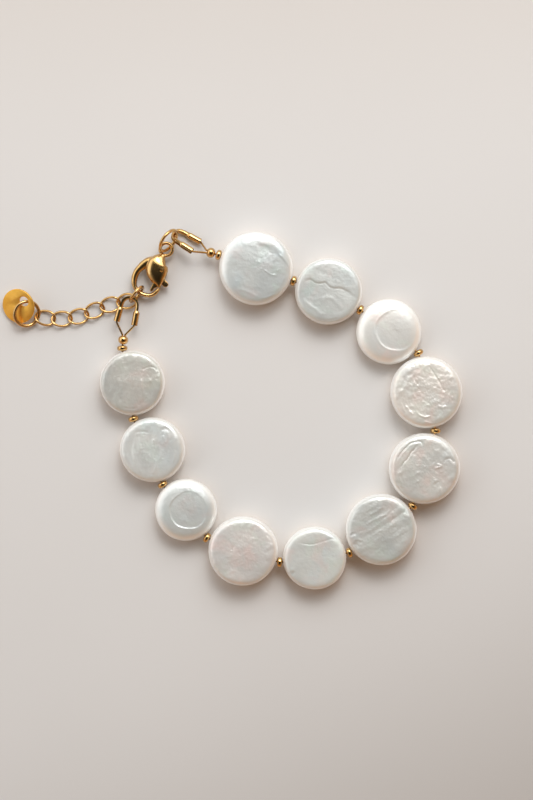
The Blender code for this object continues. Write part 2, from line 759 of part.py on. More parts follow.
def string_layout(seat_a, start_heading, extra_turn, level):
    """Places of everything on the string for one start heading and one extra bend."""
    reach = GUARD_TUBE_START + GUARD_TUBE_LENGTH
    rise = level - seat_a.z
    run = reach + GUARD_A.to_crimp
    along = direction(start_heading) * run
    along.z = rise
    guard_a = frame_at(seat_a, along, GUARD_A.roll)
    tube_end = guard_a @ Vector((reach, 0.0, 0.0))
    heading = start_heading + GUARD_A.turn
    crimp_start = tube_end + direction(heading) * GUARD_A.to_crimp
    crimp_start.z = level
    heading += GUARD_A.crimp_turn
    pearls, beads, crimp_end, end_heading = walk_string(crimp_start, heading, extra_turn)
    span_heading = end_heading - GUARD_B.crimp_turn
    guard_heading = span_heading - GUARD_B.turn
    tube_end = crimp_end + direction(span_heading) * GUARD_B.to_crimp
    seat_b = tube_end + direction(guard_heading) * reach
    seat_b.z = level
    guard_b = frame_at(seat_b, -direction(guard_heading), GUARD_B.roll)
    return {
        "pearls": pearls,
        "beads": beads,
        "guard_a": guard_a,
        "guard_b": guard_b,
        "start": (crimp_start, direction(heading)),
        "end": (crimp_end, -direction(end_heading)),
        "seat_b": seat_b,
    }


def close_loop(seat_a, seat_b, level):
    """Start heading and extra bend that bring the far guard onto the hook's ring."""
    heading = START_HEADING
    extra = 0.0
    step = CLOSING_STEP
    for _ in range(CLOSING_ROUNDS):
        here = string_layout(seat_a, heading, extra, level)["seat_b"] - seat_b
        swung = string_layout(seat_a, heading + step, extra, level)["seat_b"] - seat_b
        bent = string_layout(seat_a, heading, extra + step, level)["seat_b"] - seat_b
        by_heading = (swung - here) / step
        by_bend = (bent - here) / step
        area = by_heading.x * by_bend.y - by_heading.y * by_bend.x
        heading -= (here.x * by_bend.y - here.y * by_bend.x) / area
        extra -= (by_heading.x * here.y - by_heading.y * here.x) / area
    return heading, extra


def make_wire(string, level, material):
    """The beading wire: back through one guard, along the string, back through the other."""
    crimp_start, start_along = string["start"]
    crimp_end, end_along = string["end"]
    path = strand(string["guard_a"], crimp_start, start_along, 1.0)
    path += [Vector((spot.x, spot.y, level)) for spot, _ in string["beads"]]
    path += reversed(strand(string["guard_b"], crimp_end, end_along, 1.0))
    half = [WIRE_DIAMETER / 2] * len(path)
    return sweep("beading_wire", path, half, half, WIRE_SIDES, material)


def chain_layout(pull):
    """Centres of the links, one after the other from the ring they hang on."""
    half_length = (LINK_LENGTH - LINK_WIRE) / 2
    pitch = LINK_LENGTH - 2 * LINK_WIRE - LINK_SLACK
    inset = half_length - LINK_WIRE / 2 - HOOK_RING_WIRE / 2 - RING_GAP
    centre = pull + direction(LINKS[0].heading) * inset
    centres = []
    for before, link in zip([None] + LINKS, LINKS):
        if before is not None:
            centre = centre + direction(before.heading) * pitch / 2
            centre = centre + direction(link.heading) * pitch / 2
        centre.z = rest_height(link) + link.lift
        centres.append(centre.copy())
    return centres


def make_tag_end(last_link, gold, brushed):
    """Ring and round tag at the end of the chain."""
    radius = (TAG_RING_DIAMETER - TAG_RING_WIRE) / 2
    along = direction(LINKS[-1].heading)
    inward, aside, rise = TAG_RING_IN_LINK
    pull = last_link + along * inward + Vector((-along.y, along.x, 0.0)) * aside
    pull.z += rise
    turned = ring_frame(Vector(), TAG_RING_HEADING, TAG_RING_TILT)
    centre = pull - turned @ ring_spot(radius, TAG_RING_AT_CHAIN)
    frame = ring_frame(centre, TAG_RING_HEADING, TAG_RING_TILT)
    ring = make_ring("tag_ring", frame, TAG_RING_DIAMETER, TAG_RING_WIRE, gold)
    hole = frame @ ring_spot(radius + TAG_RING_SLACK, TAG_RING_AT_TAG)
    rise = direction(TAG_RISE_HEADING) * math.cos(math.radians(TAG_TILT))
    rise.z = math.sin(math.radians(TAG_TILT))
    tag = make_tag(hole - rise * TAG_HOLE_OUT, TAG_RISE_HEADING, TAG_TILT, brushed)
    return [ring, tag]


def settle(made):
    """Stand the bracelet on z = 0 with its middle over the origin."""
    low = Vector((math.inf, math.inf, math.inf))
    high = -low
    for piece in made:
        for vertex in piece.data.vertices:
            spot = piece.matrix_basis @ vertex.co
            low = Vector(map(min, low, spot))
            high = Vector(map(max, high, spot))
    shift = Vector((-(low.x + high.x) / 2, -(low.y + high.y) / 2, -low.z))
    for piece in made:
        if piece.location.length > 0:
            piece.location = piece.location + shift
        else:
            piece.data.transform(Matrix.Translation(shift))


build()
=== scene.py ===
import json
import math

import bmesh
import bpy
import numpy as np
from mathutils import Matrix, Vector, noise


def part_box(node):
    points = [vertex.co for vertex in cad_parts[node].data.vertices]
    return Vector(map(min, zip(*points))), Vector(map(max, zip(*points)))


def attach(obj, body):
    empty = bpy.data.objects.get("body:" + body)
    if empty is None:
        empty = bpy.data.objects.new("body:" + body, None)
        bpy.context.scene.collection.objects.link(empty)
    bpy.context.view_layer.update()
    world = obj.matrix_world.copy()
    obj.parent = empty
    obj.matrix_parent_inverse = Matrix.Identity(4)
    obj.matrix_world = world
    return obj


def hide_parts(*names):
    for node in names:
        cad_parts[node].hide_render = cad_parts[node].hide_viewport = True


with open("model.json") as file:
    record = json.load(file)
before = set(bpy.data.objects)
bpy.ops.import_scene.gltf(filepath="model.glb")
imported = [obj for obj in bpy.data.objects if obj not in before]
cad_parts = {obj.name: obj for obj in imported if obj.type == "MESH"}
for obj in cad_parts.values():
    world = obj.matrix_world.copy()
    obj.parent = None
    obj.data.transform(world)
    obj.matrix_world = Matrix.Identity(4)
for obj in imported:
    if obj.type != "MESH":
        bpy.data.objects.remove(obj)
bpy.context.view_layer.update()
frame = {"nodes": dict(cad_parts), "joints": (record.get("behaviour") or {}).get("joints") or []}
nodes = frame["nodes"]
mm = 0.001
weld = 1e-7
curveSteps = 5
sharpAngle = math.radians(50)
white = (1.0, 1.0, 1.0)
print("frame loaded,", len(nodes), "pieces")


# ways to read a place off the frame

def cornersOf(name):
    mesh = nodes[name].data
    spots = np.empty(len(mesh.vertices) * 3)
    mesh.vertices.foreach_get("co", spots)
    return np.unique(np.round(spots.reshape(-1, 3), 6), axis=0)  # the triangles are loose


def middleOf(name):
    low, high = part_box(name)
    return (Vector(low) + Vector(high)) / 2


def frameOf(name, hint=None):
    # X runs along the longest way through the piece, or along the way nearest to the hint
    corners = cornersOf(name)
    middle = corners.mean(axis=0)
    ways = [Vector(way) for way in np.linalg.eigh(np.cov((corners - middle).T))[1].T[::-1]]
    if hint is not None:
        ways.sort(key=lambda way: -abs(way.dot(hint)))
        if ways[0].dot(hint) < 0:
            ways[0] = -ways[0]
    xWay, yWay = ways[0], ways[1]
    place = Matrix((xWay, yWay, xWay.cross(yWay))).transposed().to_4x4()
    place.translation = Vector(middle)
    return place


# ways to make a mesh

def addObject(name, data):
    made = bpy.data.objects.new(name, data)
    bpy.context.scene.collection.objects.link(made)
    return made


def finishMesh(name, work, material, node):
    bmesh.ops.remove_doubles(work, verts=work.verts, dist=weld)
    bmesh.ops.recalc_face_normals(work, faces=work.faces)
    mesh = bpy.data.meshes.new(name)
    work.to_mesh(mesh)
    work.free()
    return finishPiece(name, mesh, material, node)


def finishPiece(name, mesh, material, node, body="bracelet"):
    mesh.shade_smooth()
    mesh.materials.clear()
    mesh.materials.append(material)
    piece = addObject(name, mesh)
    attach(piece, body)
    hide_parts(node)
    return piece


def spinLine(points, turns, axis=(1, 0, 0), loop=False):
    # turn a row of points once round an axis through the origin
    work = bmesh.new()
    row = [work.verts.new(point) for point in points]
    pairs = list(zip(row, row[1:]))
    if loop:
        pairs.append((row[-1], row[0]))
    edges = [work.edges.new(pair) for pair in pairs]
    bmesh.ops.spin(work, geom=row + edges, cent=(0, 0, 0), axis=axis, angle=math.tau,
                   steps=turns, use_merge=True, use_duplicate=False)
    bmesh.ops.remove_doubles(work, verts=work.verts, dist=weld)
    return work


def torusOf(radius, wire, turns, sides, squash=1.0):
    work = bmesh.new()
    made = bmesh.ops.create_circle(work, segments=sides, radius=wire / 2)
    bmesh.ops.rotate(work, verts=made["verts"], matrix=Matrix.Rotation(math.pi / 2, 3, "X"))
    bmesh.ops.scale(work, verts=made["verts"], vec=(1, 1, squash))
    bmesh.ops.translate(work, verts=made["verts"], vec=(radius, 0, 0))
    bmesh.ops.spin(work, geom=work.verts[:] + work.edges[:], cent=(0, 0, 0), axis=(0, 0, 1),
                   angle=math.tau, steps=turns, use_merge=True, use_duplicate=False)
    return work


def rodOf(radius, depth, sides):
    work = bmesh.new()
    bmesh.ops.create_cone(work, cap_ends=True, segments=sides, radius1=radius,
                          radius2=radius, depth=depth)
    return work


def smoothRow(points, closed=False):
    # a curve through a few points, each with any number of values
    row = np.array(points, float)
    count = len(row)
    made = []
    spans = count if closed else count - 1
    for span in range(spans):
        if closed:
            four = [row[(span + k) % count] for k in (-1, 0, 1, 2)]
        else:
            four = [row[min(max(span + k, 0), count - 1)] for k in (-1, 0, 1, 2)]
        for step in range(curveSteps):
            t = step / curveSteps
            made.append(0.5 * (2 * four[1] + (four[2] - four[0]) * t
                               + (2 * four[0] - 5 * four[1] + 4 * four[2] - four[3]) * t ** 2
                               + (3 * four[1] - four[0] - 3 * four[2] + four[3]) * t ** 3))
    if not closed:
        made.append(row[-1])
    return np.array(made)


def sidewaysOf(row, index):
    # the way to the left of a row of points, at one of them
    before, after = row[max(index - 1, 0)], row[min(index + 1, len(row) - 1)]
    along = Vector((after[0] - before[0], after[1] - before[1], 0)).normalized()
    return Vector((-along.y, along.x, 0))


def applyModifiers(piece):
    bpy.context.view_layer.update()
    graph = bpy.context.evaluated_depsgraph_get()
    mesh = bpy.data.meshes.new_from_object(piece.evaluated_get(graph))
    bpy.data.objects.remove(piece, do_unlink=True)
    return mesh


def looseObject(name, work):
    bmesh.ops.recalc_face_normals(work, faces=work.faces)
    mesh = bpy.data.meshes.new(name)
    work.to_mesh(mesh)
    work.free()
    return addObject(name, mesh)


def cutAway(piece, cutter):
    change = piece.modifiers.new("cut", "BOOLEAN")
    change.operation = "DIFFERENCE"
    change.solver = "EXACT"
    change.object = cutter
    mesh = applyModifiers(piece)
    bpy.data.objects.remove(cutter, do_unlink=True)
    return mesh


# materials

class Socket:
    # a number in a material; the operators add the nodes
    def __init__(self, tree, link):
        self.tree = tree
        self.link = link

    def math(self, operation, first, second, clamp=False):
        node = self.tree.nodes.new("ShaderNodeMath")
        node.operation = operation
        node.use_clamp = clamp
        for slot, value in zip(node.inputs, (first, second)):
            if isinstance(value, Socket):
                self.tree.links.new(value.link, slot)
            else:
                slot.default_value = value
        return Socket(self.tree, node.outputs[0])

    def __add__(self, other):
        return self.math("ADD", self, other)

    def __radd__(self, other):
        return self.math("ADD", other, self)

    def __sub__(self, other):
        return self.math("SUBTRACT", self, other)

    def __mul__(self, other):
        return self.math("MULTIPLY", self, other)

    def limited(self):
        return self.math("ADD", self, 0.0, True)


class Finish:
    # one material and the nodes in it
    def __init__(self, name, **constants):
        self.material = bpy.data.materials.new(name)
        self.material.use_nodes = True
        self.tree = self.material.node_tree
        self.shader = self.tree.nodes["Principled BSDF"]
        self.feed(self.shader, constants)
        coordinates = self.node("ShaderNodeTexCoord", output="Object")
        self.place = self.node("ShaderNodeMapping", None,
                               {"Vector": coordinates, "Scale": (1 / mm,) * 3})  # millimetres

    def feed(self, node, values):
        for key, value in values.items():
            slot = node.inputs[key.replace("_", " ") if isinstance(key, str) else key]
            if isinstance(value, Socket):
                self.tree.links.new(value.link, slot)
            else:
                slot.default_value = value

    def node(self, kind, settings=None, values=None, output=0):
        made = self.tree.nodes.new(kind)
        for key, value in (settings or {}).items():
            setattr(made, key, value)
        self.feed(made, values or {})
        return Socket(self.tree, made.outputs[output])

    def noise(self, scale, detail=3.0, rough=0.5, shift=(0, 0, 0), stretch=(1, 1, 1), turn=0.0,
              warp=0.0):
        moved = self.node("ShaderNodeMapping", None,
                          {"Vector": self.place, "Location": shift, "Scale": stretch,
                           "Rotation": (0, 0, math.radians(turn))})
        return self.node("ShaderNodeTexNoise", None,
                         {"Vector": moved, "Scale": scale, "Detail": detail,
                          "Roughness": rough, "Distortion": warp})

    def spread(self, value, low, high):
        # 0 at low, 1 at high
        return self.node("ShaderNodeMapRange", {"interpolation_type": "SMOOTHSTEP"},
                         {"Value": value, "From Min": low, "From Max": high})

    def blend(self, share, first, second):
        colors = [value if isinstance(value, Socket) else (*value, 1.0)
                  for value in (first, second)]
        return self.node("ShaderNodeMix", {"data_type": "RGBA"},
                         {0: share, 6: colors[0], 7: colors[1]}, 2)

    def multiply(self, first, second):
        return self.node("ShaderNodeMix", {"data_type": "RGBA", "blend_type": "MULTIPLY"},
                         {0: 1.0, 6: first, 7: second}, 2)

    def bump(self, height, strength, distance):
        return self.node("ShaderNodeBump", None, {"Height": height, "Strength": strength,
                                                  "Distance": distance * mm})


nacreLook = {
    "grey": (0.80, 0.82, 0.84),
    "pink": (1.05, 0.86, 0.84),
    "green": (0.84, 1.02, 0.92),
    "blue": (0.86, 0.98, 1.08),
    # painted highlight: a near-white colour whitens the pearls' rims below the top
    "rim": (0.99, 0.995, 0.975),
    "paintedWarmShade": (1.12, 0.88, 0.67),   # painted warm shade and bounce light: the sides turn golden towards the table
    "greyShare": 0.7,
    "pinkShare": 0.4,       # and the pearl's warmth
    "greenShare": 0.25,
    "blueShare": 0.35,      # less the pearl's warmth
    "paintedRimHighlightShare": 0.85,
    "paintedRimHighlightDepth": (0.1, 0.9),        # painted highlight's depth, millimetres below the top
    "paintedWarmShadeHeight": (2.0, 0.3),     # painted warm shade's height, millimetres above the table
    "roughness": 0.34,
    "satin": 0.12,
}


def nacreFinish(name, seed, warmth, base, top):
    finish = Finish(name, Metallic=0.25, Specular_IOR_Level=0.6, Coat_Weight=0.5,
                    Coat_Roughness=0.27, Coat_IOR=1.6, Sheen_Weight=0.9, Sheen_Roughness=0.35)
    cloud = finish.spread(finish.noise(0.16, 3.0, 0.5, (seed, 0, 0)), 0.35, 0.65)
    rosy = finish.spread(finish.noise(0.22, 2.0, 0.5, (0, seed, 0), warp=0.6), 0.48, 0.72)
    leafy = finish.spread(finish.noise(0.25, 2.0, 0.5, (0, 0, seed), warp=0.6), 0.5, 0.74)
    icy = finish.spread(finish.noise(0.2, 2.0, 0.5, (seed, seed, 0), warp=0.4), 0.5, 0.75)
    tint = finish.blend(cloud * nacreLook["greyShare"], white, nacreLook["grey"])
    tint = finish.blend(rosy * (nacreLook["pinkShare"] + warmth), tint, nacreLook["pink"])
    tint = finish.blend(leafy * nacreLook["greenShare"], tint, nacreLook["green"])
    tint = finish.blend(icy * (nacreLook["blueShare"] - warmth), tint, nacreLook["blue"])
    height = finish.node("ShaderNodeSeparateXYZ", None, {0: finish.place}, 2)
    # painted highlight on the rims below the top
    start, end = nacreLook["paintedRimHighlightDepth"]
    rim = finish.spread(height, top - start, top - end) * nacreLook["paintedRimHighlightShare"]
    # painted warm shade and bounce light on the sides towards the table
    lower = finish.spread(height, *nacreLook["paintedWarmShadeHeight"])
    paintedWarmShade = finish.blend(lower, white, nacreLook["paintedWarmShade"])
    color = finish.multiply((*base, 1.0), tint)
    color = finish.multiply(finish.blend(rim, color, nacreLook["rim"]), paintedWarmShade)
    satin = finish.noise(1.3, 4.0, 0.6, (seed, 0, seed))
    skin = finish.noise(2.6, 4.0, 0.6, (0, seed, seed), warp=0.8)
    finish.feed(finish.shader, {
        "Base Color": color,
        "Roughness": nacreLook["roughness"] + (satin - 0.5) * nacreLook["satin"],
        "Normal": finish.bump(skin, 0.25, 0.08),
    })
    return finish.material


goldLook = {
    "base": (0.67, 0.41, 0.14),
    "deep": (0.43, 0.23, 0.05),
    "polished": 0.19,    # roughness
    "drawn": 0.22,
    "bead": 0.09,
    "haze": 0.12,
}


def goldFinish(name, roughness):
    finish = Finish(name, Metallic=1.0, Coat_Weight=0.7, Coat_Roughness=0.05, Coat_IOR=1.7)
    tarnish = finish.spread(finish.noise(0.7, 4.0, 0.6), 0.35, 0.75)
    haze = finish.noise(3.5, 4.0, 0.6)
    marks = finish.noise(9.0, 3.0, 0.5, stretch=(1, 0.25, 1), turn=35.0)
    finish.feed(finish.shader, {
        "Base Color": finish.blend(tarnish * 0.6, goldLook["base"], goldLook["deep"]),
        "Roughness": roughness + (haze - 0.45) * goldLook["haze"],
        "Normal": finish.bump(marks, 0.03, 0.03),
    })
    return finish.material


brushedLook = {
    "base": (1.0, 0.61, 0.13),
    "deep": (0.74, 0.38, 0.05),
    "roughness": 0.42,
    "grain": 0.25,
    "grainTurn": 35.0,
}


def brushedFinish(name):
    finish = Finish(name, Metallic=1.0)
    grain = finish.noise(6.0, 5.0, 0.7, stretch=(0.12, 1, 1), turn=brushedLook["grainTurn"])
    patch = finish.spread(finish.noise(0.5, 3.0, 0.5), 0.35, 0.7)
    finish.feed(finish.shader, {
        "Base Color": finish.blend((patch * 0.5 + grain * 0.4).limited(),
                                   brushedLook["base"], brushedLook["deep"]),
        "Roughness": brushedLook["roughness"] + (grain - 0.5) * brushedLook["grain"],
        "Normal": finish.bump(grain, 0.35, 0.04),
    })
    return finish.material


polishedGold = goldFinish("polishedGold", goldLook["polished"])
drawnGold = goldFinish("drawnGold", goldLook["drawn"])
beadGold = goldFinish("beadGold", goldLook["bead"])
brushedGold = brushedFinish("brushedGold")
print("materials made")


# coin pearls
# marks: kind, height and width in millimetres, points in radii from the middle of the pearl
# rings: middle, radius, height of the rim, drop inside it, width in millimetres, clearest side
# bumps: middle, width in radii, height in millimetres
# shoulder: the side where the top's edge is rounder, in degrees, and how much
# folds: height in millimetres, way in degrees, closeness

longCrease = [(-0.83, 0.2), (-0.66, 0.32), (-0.53, 0.34), (-0.4, 0.25), (-0.25, 0.23),
              (-0.1, 0.25), (0.02, 0.135), (0.17, 0.08), (0.36, 0.08), (0.54, 0.0),
              (0.69, -0.11), (0.85, -0.24)]
pearlLooks = {
    "pearl_01": {
        "base": (0.660, 0.695, 0.680),
        "edge": 17, "dome": 0.34, "relief": 0.70,
        "wave": 0.13, "grain": 0.018, "seed": 3.1, "warmth": 0.0,
        "shoulder": (140.0, 0.5),
        "marks": [
            ("groove", 0.09, 0.12, [(-0.22, 0.89), (-0.03, 0.88), (0.07, 0.92), (0.24, 0.885),
                                    (0.38, 0.83), (0.52, 0.78)]),
            ("step", 0.10, 0.22, [(0.0, 0.65), (0.31, 0.61), (0.51, 0.475), (0.72, 0.3),
                                  (0.87, 0.1)]),
            ("ridge", 0.08, 0.12, [(0.58, 0.41), (0.74, 0.27), (0.87, 0.1), (0.92, -0.04)]),
            ("ridge", 0.06, 0.14, [(0.21, -0.05), (0.34, -0.14), (0.45, -0.19), (0.58, -0.19)]),
            ("ridge", 0.06, 0.22, [(-0.54, -0.58), (-0.34, -0.61), (-0.17, -0.68), (0.0, -0.75),
                                   (0.06, -0.79)]),
            ("ridge", 0.08, 0.12, [(0.14, -0.83), (0.31, -0.80), (0.48, -0.73), (0.56, -0.71)]),
            ("groove", 0.06, 0.14, [(-0.23, -0.92), (0.04, -0.94), (0.31, -0.89), (0.6, -0.74)]),
        ],
        "bumps": [(0.07, 0.15, 0.04, 0.05), (0.6, -0.07, 0.04, 0.05), (-0.15, 0.3, 0.2, 0.04)],
    },
    "pearl_02": {
        "base": (0.695, 0.720, 0.695),
        "edge": 20, "dome": 0.10, "relief": 0.85,
        "wave": 0.09, "grain": 0.018, "seed": 7.7, "warmth": 0.02,
        "marks": [
            ("step", 0.13, 0.16, longCrease),
            ("groove", 0.07, 0.15, longCrease),
            ("step", 0.07, 0.5, [(-0.55, 0.72), (-0.3, 0.7), (-0.05, 0.58), (0.2, 0.45),
                                 (0.5, 0.42)]),
            ("ridge", 0.05, 0.26, [(-0.81, -0.28), (-0.66, -0.35), (-0.51, -0.47),
                                   (-0.36, -0.58), (-0.25, -0.69), (-0.12, -0.69)]),
            ("groove", 0.07, 0.14, [(-0.42, -0.82), (-0.13, -0.9), (0.09, -0.88), (0.3, -0.82)]),
            ("ridge", 0.05, 0.3, [(-0.3, -0.3), (0.0, -0.2), (0.25, -0.35), (0.4, -0.6)]),
        ],
        "bumps": [(0.3, -0.2, 0.25, 0.05)],
    },
    "pearl_03": {
        "base": (0.905, 0.895, 0.845),
        "edge": 7, "dome": 0.30, "relief": 1.10,
        "wave": 0.03, "grain": 0.010, "seed": 11.3, "warmth": 0.05,
        "rings": [(0.21, 0.045, 0.635, 0.06, 0.08, 0.22, 215)],
    },
    "pearl_04": {
        "base": (0.840, 0.810, 0.750),
        "edge": 17, "dome": 0.12, "relief": 0.70,
        "wave": 0.12, "grain": 0.042, "seed": 15.9, "warmth": 0.12,
        "marks": [
            ("groove", 0.12, 0.12, [(0.04, 0.75), (0.11, 0.65), (0.2, 0.51), (0.29, 0.37),
                                    (0.37, 0.23), (0.44, 0.09), (0.53, 0.0)]),
            ("groove", 0.10, 0.14, [(-0.36, 0.47), (-0.32, 0.3), (-0.22, 0.19)]),
            ("ridge", 0.09, 0.13, [(-0.44, 0.27), (-0.41, 0.06), (-0.37, -0.08), (-0.3, -0.18)]),
            ("ridge", 0.11, 0.13, [(-0.75, -0.28), (-0.68, -0.43), (-0.61, -0.57)]),
            ("ridge", 0.10, 0.14, [(-0.61, -0.36), (-0.48, -0.53), (-0.37, -0.64)]),
            ("ridge", 0.12, 0.14, [(-0.27, -0.6), (-0.16, -0.65), (-0.02, -0.69), (0.11, -0.63)]),
            ("ridge", 0.09, 0.12, [(-0.09, -0.81), (0.05, -0.845), (0.18, -0.88)]),
            ("ridge", 0.09, 0.18, [(0.29, -0.36), (0.43, -0.43), (0.53, -0.36)]),
            ("groove", 0.07, 0.16, [(0.72, 0.1), (0.78, -0.1), (0.7, -0.3)]),
            ("groove", 0.06, 0.14, [(-0.6, 0.45), (-0.66, 0.2), (-0.7, 0.0)]),
        ],
        "bumps": [(-0.72, 0.02, 0.07, 0.12), (-0.45, -0.1, 0.08, 0.09), (-0.6, 0.16, 0.07, 0.08),
                  (-0.5, 0.6, 0.08, 0.07), (0.1, 0.2, 0.16, 0.05), (0.2, -0.2, 0.12, 0.05)],
    },
    "pearl_05": {
        "base": (0.760, 0.750, 0.700),
        "edge": 17, "dome": 0.08, "relief": 0.90,
        "wave": 0.10, "grain": 0.030, "seed": 19.4, "warmth": 0.12,
        "marks": [
            ("groove", 0.11, 0.11, [(-0.81, 0.21), (-0.7, 0.39), (-0.56, 0.56), (-0.42, 0.7),
                                    (-0.25, 0.755), (-0.11, 0.755), (-0.07, 0.66)]),
            ("groove", 0.11, 0.11, [(-0.67, 0.0), (-0.6, 0.17), (-0.49, 0.28), (-0.39, 0.455),
                                    (-0.28, 0.56), (-0.22, 0.7)]),
            ("groove", 0.10, 0.11, [(-0.81, -0.32), (-0.74, -0.42), (-0.67, -0.53),
                                    (-0.6, -0.6)]),
            ("ridge", 0.08, 0.12, [(-0.76, -0.1), (-0.7, -0.3), (-0.64, -0.42)]),
            ("groove", 0.08, 0.15, [(0.53, 0.24), (0.7, 0.28), (0.84, 0.17)]),
            ("ridge", 0.09, 0.14, [(0.42, -0.5), (0.46, -0.67), (0.46, -0.81)]),
            ("ridge", 0.08, 0.16, [(0.32, 0.14), (0.45, 0.07), (0.25, 0.0)]),
            ("groove", 0.06, 0.14, [(0.25, -0.5), (0.31, -0.4), (0.42, -0.38)]),
        ],
        "bumps": [(-0.7, -0.12, 0.07, 0.14), (-0.2, -0.11, 0.05, 0.08), (-0.2, -0.35, 0.05, 0.08),
                  (0.8, -0.26, 0.09, 0.10), (0.35, 0.5, 0.09, 0.07), (0.28, -0.36, 0.07, 0.08),
                  (0.6, 0.35, 0.1, 0.06), (-0.02, 0.35, 0.05, 0.05)],
    },
    "pearl_06": {
        "base": (0.655, 0.665, 0.630),
        "edge": 18, "dome": 0.10, "relief": 0.85,
        "wave": 0.09, "grain": 0.028, "seed": 23.8, "warmth": 0.03,
        "folds": (0.065, 35.0, 2.6),
        "marks": [
            ("ridge", 0.055, 0.2, [(-0.46, 0.13), (-0.25, 0.27), (0.0, 0.38), (0.25, 0.48)]),
            ("ridge", 0.055, 0.2, [(-0.35, 0.41), (-0.1, 0.55), (0.07, 0.69)]),
            ("groove", 0.06, 0.18, [(0.25, 0.27), (0.42, 0.38), (0.6, 0.48), (0.74, 0.52)]),
            ("groove", 0.09, 0.14, [(-0.88, -0.18), (-0.81, -0.11), (-0.7, -0.08)]),
            ("groove", 0.10, 0.14, [(-0.84, -0.43), (-0.7, -0.4), (-0.63, -0.5)]),
            ("ridge", 0.08, 0.14, [(-0.8, -0.3), (-0.68, -0.25), (-0.55, -0.32)]),
            ("groove", 0.06, 0.2, [(-0.46, -0.75), (-0.25, -0.88), (0.03, -0.93), (0.32, -0.87),
                                   (0.53, -0.73)]),
        ],
        "bumps": [(0.12, -0.25, 0.08, 0.06), (-0.75, -0.2, 0.07, 0.07)],
    },
    "pearl_07": {
        "base": (0.780, 0.795, 0.755),
        "edge": 18, "dome": 0.10, "relief": 0.60,
        "wave": 0.05, "grain": 0.018, "seed": 27.2, "warmth": 0.04,
        "marks": [
            ("groove", 0.07, 0.09, [(-0.56, 0.51), (-0.32, 0.47), (-0.09, 0.45), (0.15, 0.51),
                                    (0.35, 0.57), (0.55, 0.63), (0.7, 0.56)]),
            ("groove", 0.06, 0.14, [(0.75, -0.5), (0.6, -0.66), (0.4, -0.78)]),
        ],
        "bumps": [(-0.7, -0.36, 0.06, 0.10), (-0.7, -0.46, 0.07, -0.12), (-0.1, 0.3, 0.2, 0.03)],
    },
    "pearl_08": {
        "base": (0.810, 0.780, 0.740),
        "edge": 18, "dome": 0.10, "relief": 0.80,
        "wave": 0.07, "grain": 0.028, "seed": 31.6, "warmth": 0.16,
        "marks": [
            ("groove", 0.07, 0.14, [(-0.36, -0.87), (-0.06, -0.92), (0.16, -0.9)]),
            ("groove", 0.06, 0.14, [(0.66, 0.52), (0.78, 0.38), (0.84, 0.2)]),
            ("groove", 0.05, 0.16, [(-0.34, 0.02), (-0.28, 0.12), (-0.22, 0.2)]),
        ],
        "bumps": [(-0.31, 0.09, 0.08, -0.07), (0.28, 0.36, 0.05, 0.05), (0.74, -0.12, 0.1, 0.08),
                  (0.72, 0.1, 0.08, 0.06), (-0.42, -0.78, 0.07, 0.09), (-0.55, -0.7, 0.07, 0.07),
                  (-0.4, -0.4, 0.12, -0.05), (-0.7, -0.3, 0.12, 0.05)],
    },
    "pearl_09": {
        "base": (0.710, 0.740, 0.720),
        "edge": 8, "dome": 0.34, "relief": 1.10,
        "wave": 0.03, "grain": 0.016, "seed": 35.5, "warmth": 0.0,
        "marks": [
            ("ridge", 0.05, 0.2, [(0.84, 0.45), (0.93, 0.2), (0.9, -0.1), (0.76, -0.4)]),
        ],
        "rings": [(0.085, 0.0, 0.61, 0.08, 0.12, 0.16, 225)],
        "bumps": [(-0.05, -0.3, 0.1, 0.05)],
    },
    "pearl_10": {
        "base": (0.760, 0.775, 0.745),
        "edge": 18, "dome": 0.10, "relief": 0.70,
        "wave": 0.08, "grain": 0.022, "seed": 39.9, "warmth": 0.02,
        "folds": (0.10, 92.0, 2.3),
        "marks": [
            ("ridge", 0.08, 0.18, [(-0.6, 0.1), (-0.52, -0.24), (-0.41, -0.55), (-0.32, -0.77)]),
            ("ridge", 0.06, 0.14, [(0.07, -0.24), (0.11, -0.5), (0.03, -0.77)]),
            ("ridge", 0.06, 0.18, [(0.33, 0.46), (0.42, 0.2)]),
            ("groove", 0.07, 0.16, [(-0.52, 0.54), (-0.24, 0.57), (-0.1, 0.5)]),
            ("groove", 0.07, 0.16, [(0.25, 0.6), (0.42, 0.65), (0.55, 0.55)]),
            ("ridge", 0.06, 0.16, [(0.6, -0.45), (0.68, -0.25), (0.72, 0.0)]),
        ],
        "bumps": [(0.04, 0.29, 0.03, 0.08)],
    },
    "pearl_11": {
        "base": (0.620, 0.615, 0.570),
        "edge": 18, "dome": 0.10, "relief": 0.70,
        "wave": 0.08, "grain": 0.022, "seed": 43.4, "warmth": 0.08,
        "folds": (0.08, 88.0, 2.0),
        "marks": [
            ("ridge", 0.07, 0.16, [(0.29, 0.12), (0.31, -0.3), (0.26, -0.63)]),
            ("groove", 0.07, 0.2, [(-0.42, 0.04), (-0.44, -0.31), (-0.33, -0.58)]),
            ("groove", 0.08, 0.14, [(0.3, 0.4), (0.5, 0.48), (0.68, 0.47), (0.8, 0.35)]),
            ("groove", 0.06, 0.14, [(-0.29, -0.76), (-0.03, -0.8), (0.2, -0.78)]),
            ("ridge", 0.07, 0.14, [(0.33, -0.9), (0.5, -0.8), (0.66, -0.62)]),
        ],
        "bumps": [(0.57, 0.06, 0.06, 0.12), (-0.28, 0.0, 0.14, 0.06), (0.0, 0.05, 0.16, 0.04)],
    },
}

pearlShape = {
    "faceSteps": 46,
    "rimSteps": 16,
    "backSteps": 12,
    "faceShare": 0.88,
    "turns": 192,
    "hole": 0.8 * mm,
    "holeSides": 24,
    "domeBase": 0.62,
    "uneven": 0.004,
    "waveScale": 1.7,
    "grainScale": 9.0,
    "foldScale": (0.9, 1.6),
    "markSpread": 1.25,    # marks are this much wider than in the table
    "markEnds": 0.2,       # share of a mark's length in which it fades out
    "stepReach": 0.35,
    "ringWobble": (0.02, 0.015),
    "ringClear": (0.6, 0.4),
    "flatEdge": 0.98,      # the relief is gone here and full a little further in
    "flatReach": 0.11,
}


